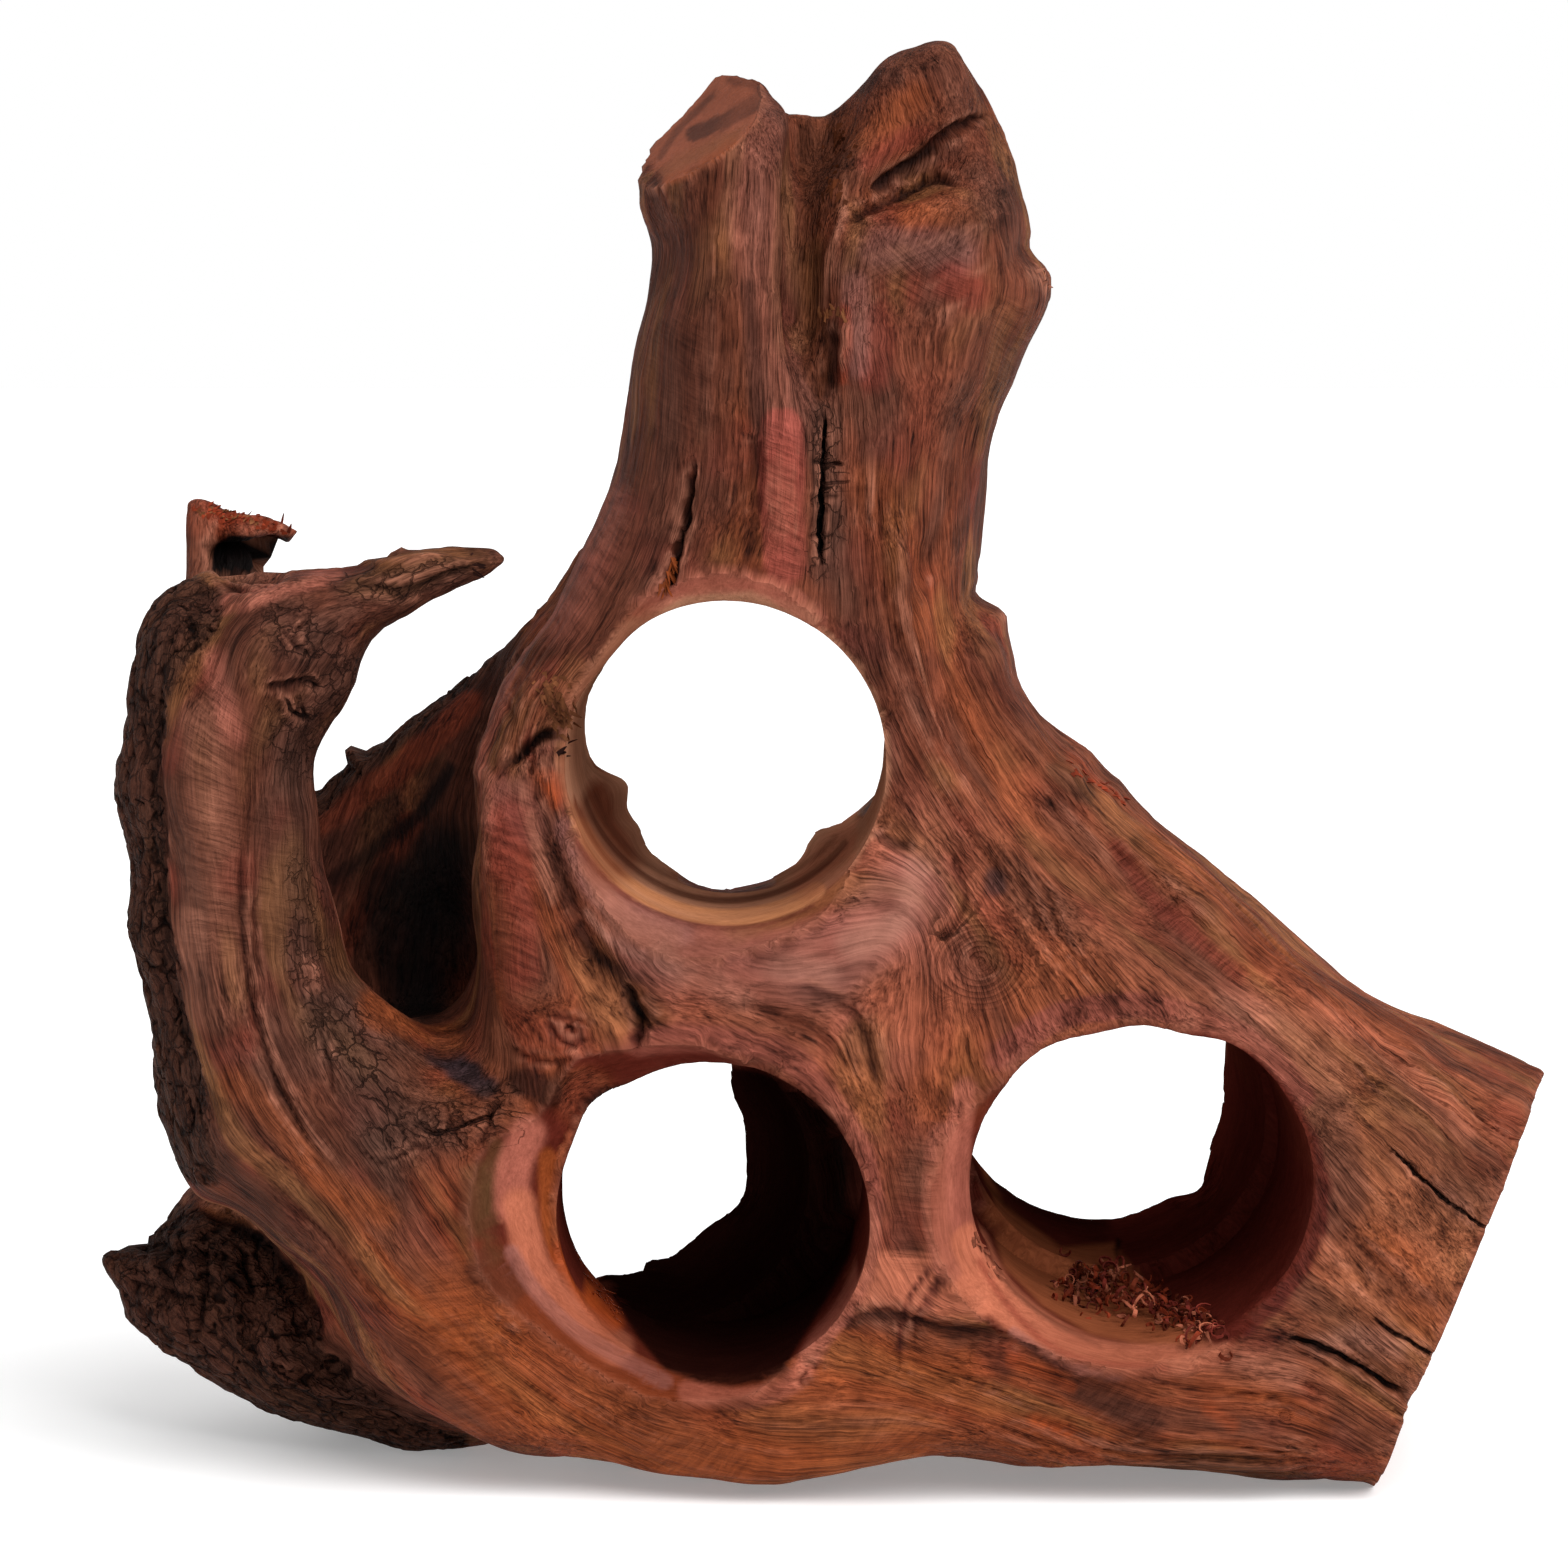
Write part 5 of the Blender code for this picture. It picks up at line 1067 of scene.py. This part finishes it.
# The skin just outside the holes was rubbed smooth as well.
rubbed = patches([
    (0.7, 6, [(-36, -24), (-26, -33), (-14, -38), (0, -39), (14, -35), (26, -24)]),
    (0.7, 5, [(-55, -74), (-57, -86), (-50, -104), (-36, -118)]),
    (0.6, 5, [(20, -104), (38, -105)]),
    (0.6, 4, [(44, -106), (64, -120), (88, -119)]), (0.4, 5, [(-30, 38), (-10, 43), (8, 35)]),
], spots, 3.0, 0.6, 1.4, frayed)
smoothed = np.maximum(smoothed, rubbed * on_front)


def keep_mask(name, first, second, third=0.0):
    """Two or three numbers for each point, which the finish reads by this name."""
    columns = np.empty((len(places), 3))
    columns[:, 0], columns[:, 1], columns[:, 2] = first, second, third
    mask = skin.attributes.new(name, "FLOAT_VECTOR", "POINT")
    mask.data.foreach_set("vector", columns.ravel())


keep_mask("masks", bark, hatch, smoothed)
keep_mask("rings", ring, ring_share, np.maximum(inner, walls))
keep_mask("crazing", gaps, bark * 0.8 + crazed)
keep_mask("checks", check, check_share, limb_end)

# Flat stretches of the net need fewer faces, but places where the tone changes keep theirs.
most_faces = 190000
step_over = np.abs(tint[pairs[:, 0]] - tint[pairs[:, 1]]).max(1)
busy = np.zeros(len(places))
np.maximum.at(busy, pairs[:, 0], step_over)
np.maximum.at(busy, pairs[:, 1], step_over)
plain = wood.vertex_groups.new(name="plain")
for i, weight in enumerate((1 - 0.9 * step(busy, 0.01, 0.06)).tolist()):
    plain.add([i], weight, "REPLACE")
thin = wood.modifiers.new("thin", "DECIMATE")
thin.ratio = most_faces / sum(len(p.vertices) - 2 for p in skin.polygons)
thin.vertex_group = "plain"
bpy.context.view_layer.objects.active = wood
bpy.ops.object.modifier_apply(modifier="thin")


# The finish. The painted tones are drawn out into fibres, and the same fibres, scratches
# and rings give the surface its fine relief.
timber = bpy.data.materials.new("weathered_hardwood")
timber.use_nodes = True
nodes = timber.node_tree.nodes
links = timber.node_tree.links
surface = nodes["Principled BSDF"]


def put(kind, inputs=None, **settings):
    """A node with its settings, and its inputs set or linked."""
    made = nodes.new(kind)
    for name, value in settings.items():
        setattr(made, name, value)
    for name, value in (inputs or {}).items():
        if isinstance(value, bpy.types.NodeSocket):
            links.new(value, made.inputs[name])
        else:
            made.inputs[name].default_value = value
    return made


def math_of(kind, first, second=0.0, third=0.0):
    """The result of one sum."""
    made = put("ShaderNodeMath", {0: first, 1: second, 2: third}, operation=kind)
    return made.outputs[0]


def fibre_noise(scale, detail, roughness, shift=0.0):
    """Noise drawn out along the grain: scale is per millimetre across and along it."""
    spread = put("ShaderNodeMapping", {
        "Vector": bent.outputs[0], "Location": (shift, shift * 0.7, shift * 0.3),
        "Scale": (scale[0], scale[1], scale[0]),
    })
    return put("ShaderNodeTexNoise", {
        "Vector": spread.outputs[0], "Scale": 1.0, "Detail": detail, "Roughness": roughness,
    }).outputs["Fac"]


def between(value, low, high, to_low=0.0, to_high=1.0):
    """A value from low to high drawn out evenly from to_low to to_high, and held there."""
    return put("ShaderNodeMapRange", {
        "Value": value, "From Min": low, "From Max": high, "To Min": to_low, "To Max": to_high,
    }).outputs[0]


def blend(kind, share, first, second):
    """Two colours laid over each other."""
    made = put("ShaderNodeMix", data_type="RGBA", blend_type=kind)
    for place, value in ((0, share), (6, first), (7, second)):
        if isinstance(value, bpy.types.NodeSocket):
            links.new(value, made.inputs[place])
        else:
            made.inputs[place].default_value = value
    return made.outputs[2]


def read_mask(name):
    """The three numbers of a mask that the mesh carries."""
    vector = put("ShaderNodeAttribute", attribute_name=name).outputs["Vector"]
    return tuple(put("ShaderNodeSeparateXYZ", {0: vector}).outputs)


grain_node = put("ShaderNodeAttribute", attribute_name="grain")
tint_node = put("ShaderNodeAttribute", attribute_name="tint")
bark_share, hatch_share, smooth_share = read_mask("masks")
ring_gap, ring_strength, wall_share = read_mask("rings")
plate_gap, craze_strength, _ = read_mask("crazing")
check_gap, check_strength, end_share = read_mask("checks")
place = put("ShaderNodeTexCoord").outputs["Object"]

# The fibres wander a little, by up to about 3 mm.
wander = put("ShaderNodeTexNoise", {"Vector": place, "Scale": 34.0, "Detail": 2.0})
sideways = put("ShaderNodeVectorMath", {0: wander.outputs["Color"], 1: (3.0, 3.0, 3.0)},
               operation="MULTIPLY")
bent = put("ShaderNodeVectorMath", {0: grain_node.outputs["Vector"], 1: sideways.outputs[0]},
           operation="ADD")

# Fibres of four widths, scratches across them, pores, and hairline splits of two sizes.
wide = fibre_noise((0.15, 0.012), 3.0, 0.5)
middle_fibres = fibre_noise((0.4, 0.016), 4.0, 0.6, 5.0)
fine = fibre_noise((1.2, 0.028), 3.0, 0.6, 9.0)
hair = fibre_noise((2.8, 0.07), 2.0, 0.6, 14.0)
slanted = put("ShaderNodeMapping", {
    "Vector": bent.outputs[0], "Rotation": (0, 0, -0.42), "Scale": (9.0, 0.95, 9.0),
}, vector_type="TEXTURE")
scratch = put("ShaderNodeTexNoise", {
    "Vector": slanted.outputs[0], "Scale": 1.0, "Detail": 3.0, "Roughness": 0.65,
    "Distortion": 0.25,
}).outputs["Fac"]
pores = fibre_noise((1.9, 0.12), 2.0, 0.6, 33.0)
long_split = math_of("SUBTRACT", fibre_noise((0.24, 0.012), 3.0, 0.6, 41.0), 0.5)
long_split = between(math_of("ABSOLUTE", long_split), 0.0, 0.045)
short_split = math_of("SUBTRACT", fibre_noise((0.6, 0.03), 3.0, 0.6, 47.0), 0.5)
short_split = between(math_of("ABSOLUTE", short_split), 0.0, 0.07)
ring_wave = math_of("SINE", math_of("MULTIPLY_ADD", ring_gap, 4.4,
                                    math_of("MULTIPLY", wander.outputs["Fac"], 26.0)))
ring_line = math_of("MULTIPLY", between(ring_wave, -0.4, 1.0), ring_strength)
grit = put("ShaderNodeTexNoise", {
    "Vector": place, "Scale": 900.0, "Detail": 3.0, "Roughness": 0.7,
}).outputs["Fac"]
blotch = put("ShaderNodeTexNoise", {
    "Vector": place, "Scale": 160.0, "Detail": 4.0, "Roughness": 0.6,
}).outputs["Fac"]

# shade is what the painted tone is multiplied by, 1 where nothing lightens or darkens it.
coarse_share = between(smooth_share, 0.0, 1.0, 1.0, 0.3)
fibre_share = math_of("MULTIPLY", coarse_share, between(hatch_share, 0.0, 1.0, 1.0, 0.3))
shade = between(wide, 0.3, 0.7, -0.24, 0.24)
for pattern, depth in ((middle_fibres, 0.28), (fine, 0.34), (hair, 0.42), (blotch, 0.3)):
    shade = math_of("ADD", shade, between(pattern, 0.3, 0.7, -depth, depth))
shade = math_of("MULTIPLY", shade, fibre_share)
hatching = math_of("MULTIPLY", hatch_share, between(scratch, 0.36, 0.64, 0.34, -0.26))
shade = math_of("SUBTRACT", shade, hatching)
shade = math_of("SUBTRACT", shade, math_of("MULTIPLY", ring_line, 0.22))

# The sawn end of the limb shows its yearly rings, round a pith near its middle.
pith = (0.145, -0.006, 0.036)
_, end_faces, _ = saw_cuts[1]
from_pith = put("ShaderNodeVectorMath", {0: place, 1: pith}, operation="SUBTRACT")
over_face = put("ShaderNodeVectorMath", {0: from_pith.outputs[0], 1: end_faces},
                operation="CROSS_PRODUCT")
year = put("ShaderNodeVectorMath", {0: over_face.outputs[0]}, operation="LENGTH").outputs["Value"]
year = math_of("MULTIPLY_ADD", year, 3600.0, math_of("MULTIPLY", wander.outputs["Fac"], 14.0))
year = math_of("MULTIPLY", between(math_of("SINE", year), -0.2, 1.0), end_share)
shade = math_of("SUBTRACT", shade, math_of("MULTIPLY", year, 0.3))
end_blotch = math_of("MULTIPLY", end_share, between(blotch, 0.35, 0.6, 0.25, 0.0))
shade = math_of("SUBTRACT", shade, end_blotch)
bark_grit = math_of("MULTIPLY", bark_share, between(grit, 0.3, 0.7, -0.35, 0.35))
shade = math_of("ADD", shade, bark_grit)
shade = math_of("ADD", shade, 1.0)

# Splits, pores, the cracks between bark plates, the fine crackle and the hairline checks.
cut_dark = between(long_split, 0.0, 1.0, 0.2, 0.0)
cut_dark = math_of("ADD", cut_dark, between(short_split, 0.0, 1.0, 0.16, 0.0))
cut_dark = math_of("ADD", cut_dark, between(pores, 0.64, 0.76, 0.0, 0.28))
cut_dark = math_of("MULTIPLY", cut_dark, fibre_share)
plate_crack = math_of("MULTIPLY", bark_share, between(plate_gap, 0.01, 0.07, 0.85, 0.0))
cells = put("ShaderNodeMapping", {"Vector": bent.outputs[0], "Scale": (0.3, 0.22, 0.3)})
cells_bent = put("ShaderNodeTexNoise", {"Vector": cells.outputs[0], "Scale": 1.6})
cells = put("ShaderNodeVectorMath", {0: cells.outputs[0], 1: cells_bent.outputs["Color"]},
            operation="ADD")
cell_edge = put("ShaderNodeTexVoronoi", {"Vector": cells.outputs[0], "Scale": 1.0},
                feature="DISTANCE_TO_EDGE").outputs["Distance"]
cell_crack = math_of("MULTIPLY", craze_strength, between(cell_edge, 0.012, 0.06, 0.55, 0.0))
check_line = between(math_of("ABSOLUTE", check_gap), 0.15, 0.45, 0.95, 0.0)
check_line = math_of("MULTIPLY", check_line, check_strength)
crazes = math_of("MAXIMUM", math_of("MAXIMUM", plate_crack, cell_crack), check_line)
cut_dark = math_of("MAXIMUM", cut_dark, crazes)
shade = math_of("MULTIPLY", shade, math_of("SUBTRACT", 1.0, cut_dark))
shade = math_of("MAXIMUM", shade, 0.12)
shades = put("ShaderNodeCombineXYZ", {
    0: shade, 1: math_of("POWER", shade, 1.1), 2: math_of("POWER", shade, 1.14),
}).outputs[0]
toned = blend("MULTIPLY", 1.0, tint_node.outputs["Color"], shades)
links.new(toned, surface.inputs["Base Color"])

# The same patterns stand out or sink in by parts of relief_depth, in metres.
relief_depth = 0.0014
height = math_of("MULTIPLY", middle_fibres, 0.35)
for pattern, part in ((fine, 0.4), (hair, 0.24), (blotch, 0.35)):
    height = math_of("ADD", height, math_of("MULTIPLY", pattern, part))
height = math_of("SUBTRACT", height, math_of("MULTIPLY", cut_dark, 0.8))
height = math_of("MULTIPLY", height, coarse_share)
height = math_of("SUBTRACT", height, math_of("MULTIPLY", crazes, 0.7))
scratch_edge = math_of("MULTIPLY", scratch, hatch_share)
height = math_of("ADD", height, math_of("MULTIPLY", scratch_edge, 0.7))
height = math_of("SUBTRACT", height, math_of("MULTIPLY", ring_line, 0.25))
grit_height = math_of("MULTIPLY", grit, between(bark_share, 0.0, 1.0, 0.12, 0.5))
height = math_of("ADD", height, grit_height)
bump = put("ShaderNodeBump", {"Height": height, "Strength": 1.0, "Distance": relief_depth})
links.new(bump.outputs[0], surface.inputs["Normal"])

# Dry wood hardly shines, and the dark walls of the holes don't shine at all.
dry_gloss = 0.06
surface.inputs["Roughness"].default_value = 0.7
surface.inputs["Specular IOR Level"].default_value = dry_gloss
links.new(between(wall_share, 0.0, 0.6, dry_gloss, 0.0), surface.inputs["Specular IOR Level"])

wood.data.materials.clear()
wood.data.materials.append(timber)
bpy.ops.object.select_all(action="DESELECT")
wood.select_set(True)
bpy.ops.object.shade_smooth_by_angle(angle=math.radians(50))
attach(wood, "root")
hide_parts("driftwood")


# Torn fibres. Where the wood was sawn, drilled or broken, short brown splinters stand
# out of its edges. Each is a thin three-sided sliver with its foot sunk in the wood.
places, _, _ = read_skin(wood.data)
tree = skin_tree(wood.data, places)


def on_wood(x, z, way):
    """The wood behind a sight place, or behind the first place back along the way with any."""
    for back in np.arange(0, 8, 0.5):
        aim = look_point + sight_right * (x - way[0] * back) + sight_up * (z - way[1] * back)
        hit = tree.ray_cast(Vector(eye), Vector(aim - eye).normalized())
        if hit[0] is not None:
            return np.array(hit[0]), np.array(hit[1])
    return None, None


# Each row is (tone, count, length, lean out, spread, way, [from, to]), in sight millimetres.
torn = [
    ("dark", 5, 2.4, 0.1, 1.2, (1, -0.2), [(-64, 49), (-65, 45)]),
    ("ember", 2, 3.0, 0.2, 0.5, (0.4, 1), [(-105, 54), (-104, 53)]),
    ("ember", 60, 1.0, 0.35, 2.0, (0.7, 0.2), [(-122, 57), (-115, 56), (-106, 54)]),
    ("tan", 26, 0.9, 0.3, 1.6, (0.7, 0.2), [(-122, 57), (-110, 55)]),
    ("groove", 44, 2.4, 0.12, 3.0, (0.05, -1), [(10, 138), (12, 130), (10, 124)]),
    ("tan", 10, 2.0, 0.15, 1.2, (0.1, 1), [(9, 98), (13, 97)]),
    ("light", 5, 1.4, 0.1, 0.8, (0.8, 0.7), [(53, 108), (55, 104)]),
    ("orange", 18, 2.8, 0.12, 0.9, (-0.3, -1), [(-23, 47), (-25, 41)]),
    ("tan", 70, 2.6, 0.15, 3.2, (0.5, -0.8), [(-49, 22), (-46, 13)]),
    ("dark", 5, 1.8, 0.1, 1.8, (1, 0.4), [(-46.5, 11), (-46.5, 6)]),
    ("glow", 36, 2.4, 0.1, 1.2, (0.4, -1), [(-43, -99), (-39, -105), (-35, -111)]),
    ("flesh", 16, 2.0, 0.05, 1.2, (0.4, -1), [(40, -95), (44, -102)]),
    ("ember", 22, 1.4, 0.1, 1.6, (0.8, -0.5), [(58, 4), (64, 1), (71, -3)]),
]
POINTS_OF_SLIVER = 10
slivers = bmesh.new()
sliver_tones = []
chance = np.random.default_rng(7)
for tone, count, length, lean, spread, way, line in torn:
    path = smooth_path(line, 1.0)
    way = np.array(way) / np.hypot(*way)
    for _ in range(count):
        x, z = path[chance.integers(len(path))] + chance.normal(0, spread * 0.5, 2)
        foot, out = on_wood(x, z, way)
        if foot is None:
            continue
        turn = chance.normal(0, 0.35)
        run = sight_right * (way[0] - way[1] * turn) + sight_up * (way[1] + way[0] * turn)
        run = run + out * (lean + abs(chance.normal(0, 0.2)))
        run /= np.linalg.norm(run)
        side = np.cross(run, out)
        side /= np.linalg.norm(side) + 1e-9
        up = np.cross(side, run)
        long = length * chance.uniform(0.5, 1.3)
        thick = chance.uniform(0.18, 0.45)
        bend = up * chance.normal(0, 0.22) * long + side * chance.normal(0, 0.12) * long
        rings = []
        for share, size in ((-0.15, 1.0), (0.5, 0.75), (0.85, 0.4)):
            middle = foot + run * long * share + bend * share * share
            rings.append([])
            for a in (0.5, 2.6, 4.7):
                ray = side * math.cos(a) * 1.6 + up * math.sin(a)
                rings[-1].append(slivers.verts.new((middle + ray * thick * size) * MM))
        tip = slivers.verts.new((foot + run * long + bend) * MM)
        slivers.faces.new(rings[0][::-1])
        for low, high in zip(rings, rings[1:]):
            for i in range(3):
                slivers.faces.new((low[i], low[(i + 1) % 3], high[(i + 1) % 3], high[i]))
        for i in range(3):
            slivers.faces.new((rings[-1][i], rings[-1][(i + 1) % 3], tip))
        sliver_tones += [paint(tone) * chance.uniform(0.6, 1.25)] * POINTS_OF_SLIVER
bmesh.ops.recalc_face_normals(slivers, faces=slivers.faces)


def add_piece(made, name, tones_of_points):
    """One object of small wood pieces, with its own tones."""
    mesh = bpy.data.meshes.new(name)
    made.to_mesh(mesh)
    made.free()
    piece = bpy.data.objects.new(name, mesh)
    bpy.context.collection.objects.link(piece)
    colour = mesh.attributes.new("tint", "FLOAT_COLOR", "POINT")
    tones_of_points = np.c_[np.array(tones_of_points), np.ones(len(tones_of_points))]
    colour.data.foreach_set("color", tones_of_points.ravel())
    mesh.materials.append(timber)
    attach(piece, "root")


add_piece(slivers, "torn_fibres", sliver_tones)

# Shavings. Curled red-brown shavings left by the drill lie in a heap in the lower right
# hole. Each is a thin strip rolled round itself, resting on the hole's floor.
SHAVINGS = 240
CURL_STEPS = 10
CURL_TONES = ("red", "ember", "flesh", "plank")
curls = bmesh.new()
curl_tones = []
for k in range(SHAVINGS):
    share = chance.uniform()
    x = 58 + 33 * share + chance.normal(0, 1.5)
    z = -105.5 - 9.5 * share + chance.normal(0, 2.2)
    foot, out = on_wood(x, z, (0, 1))
    if foot is None:
        continue
    heap = 6.0 * math.exp(-(((x - 70) / 12) ** 2)) * chance.uniform()
    middle = foot + out * 0.4 + np.array([0, 0, 1.0]) * heap
    turn = Vector(chance.normal(0, 1, 3)).normalized()
    first = np.array(turn.orthogonal().normalized())
    second = np.cross(np.array(turn), first)
    radius = chance.uniform(0.6, 2.3)
    width = chance.uniform(0.4, 1.0)
    turns = chance.uniform(0.3, 1.2)
    pitch = chance.uniform(0.3, 1.6)
    rings = []
    for i in range(CURL_STEPS + 1):
        part = i / CURL_STEPS
        angle = 2 * math.pi * turns * part
        ray = first * math.cos(angle) + second * math.sin(angle)
        spot = middle + ray * radius * (1 - 0.45 * part) + np.array(turn) * pitch * part
        taper = 0.25 + 0.75 * math.sin(math.pi * (0.12 + 0.8 * part))
        over = np.array(turn) * width * taper * 0.5
        rings.append([
            curls.verts.new((spot + over * sx + ray * sy * 0.12) * MM)
            for sx, sy in ((-1, -1), (1, -1), (1, 1), (-1, 1))
        ])
    for low, high in zip(rings, rings[1:]):
        for i in range(4):
            curls.faces.new((low[i], low[(i + 1) % 4], high[(i + 1) % 4], high[i]))
    curls.faces.new(rings[0][::-1])
    curls.faces.new(rings[-1])
    tone = paint(CURL_TONES[k % len(CURL_TONES)]) * chance.uniform(0.6, 1.4)
    curl_tones += [tone] * (4 * (CURL_STEPS + 1))
bmesh.ops.recalc_face_normals(curls, faces=curls.faces)
add_piece(curls, "shavings", curl_tones)


# The floor is a plain pale sheet, and the lamps are a wide soft one and the white room.
bpy.ops.mesh.primitive_plane_add(size=24.0, location=(0, 0, 0))
floor = bpy.context.object
floor.name = "floor"
pale = bpy.data.materials.new("pale_floor")
pale.use_nodes = True
for socket, value in {
    "Base Color": (0.9, 0.9, 0.9, 1), "Emission Color": (1, 1, 1, 1), "Emission Strength": 0.25,
    "Roughness": 0.3, "Specular IOR Level": 0.03,
}.items():
    pale.node_tree.nodes["Principled BSDF"].inputs[socket].default_value = value
floor.data.materials.append(pale)

sun = bpy.data.lights.new("key", "SUN")
sun.energy = 3.1
sun.angle = math.radians(50)
key = bpy.data.objects.new("key", sun)
bpy.context.collection.objects.link(key)
key.rotation_euler = Vector((-0.62, 0.78, -0.95)).to_track_quat("-Z", "Y").to_euler()

world = bpy.data.worlds.new("studio")
bpy.context.scene.world = world
world.use_nodes = True
sky = world.node_tree
room = sky.nodes["Background"]
room.inputs["Color"].default_value = (1, 1, 1, 1)
room.inputs["Strength"].default_value = 0.66
bright = sky.nodes.new("ShaderNodeBackground")
bright.inputs["Color"].default_value = (1, 1, 1, 1)
bright.inputs["Strength"].default_value = 1.0
path = sky.nodes.new("ShaderNodeLightPath")
mix = sky.nodes.new("ShaderNodeMixShader")
sky.links.new(path.outputs["Is Camera Ray"], mix.inputs["Fac"])
sky.links.new(room.outputs[0], mix.inputs[1])
sky.links.new(bright.outputs[0], mix.inputs[2])
sky.links.new(mix.outputs[0], sky.nodes["World Output"].inputs["Surface"])
bpy.context.scene.view_settings.view_transform = "Standard"
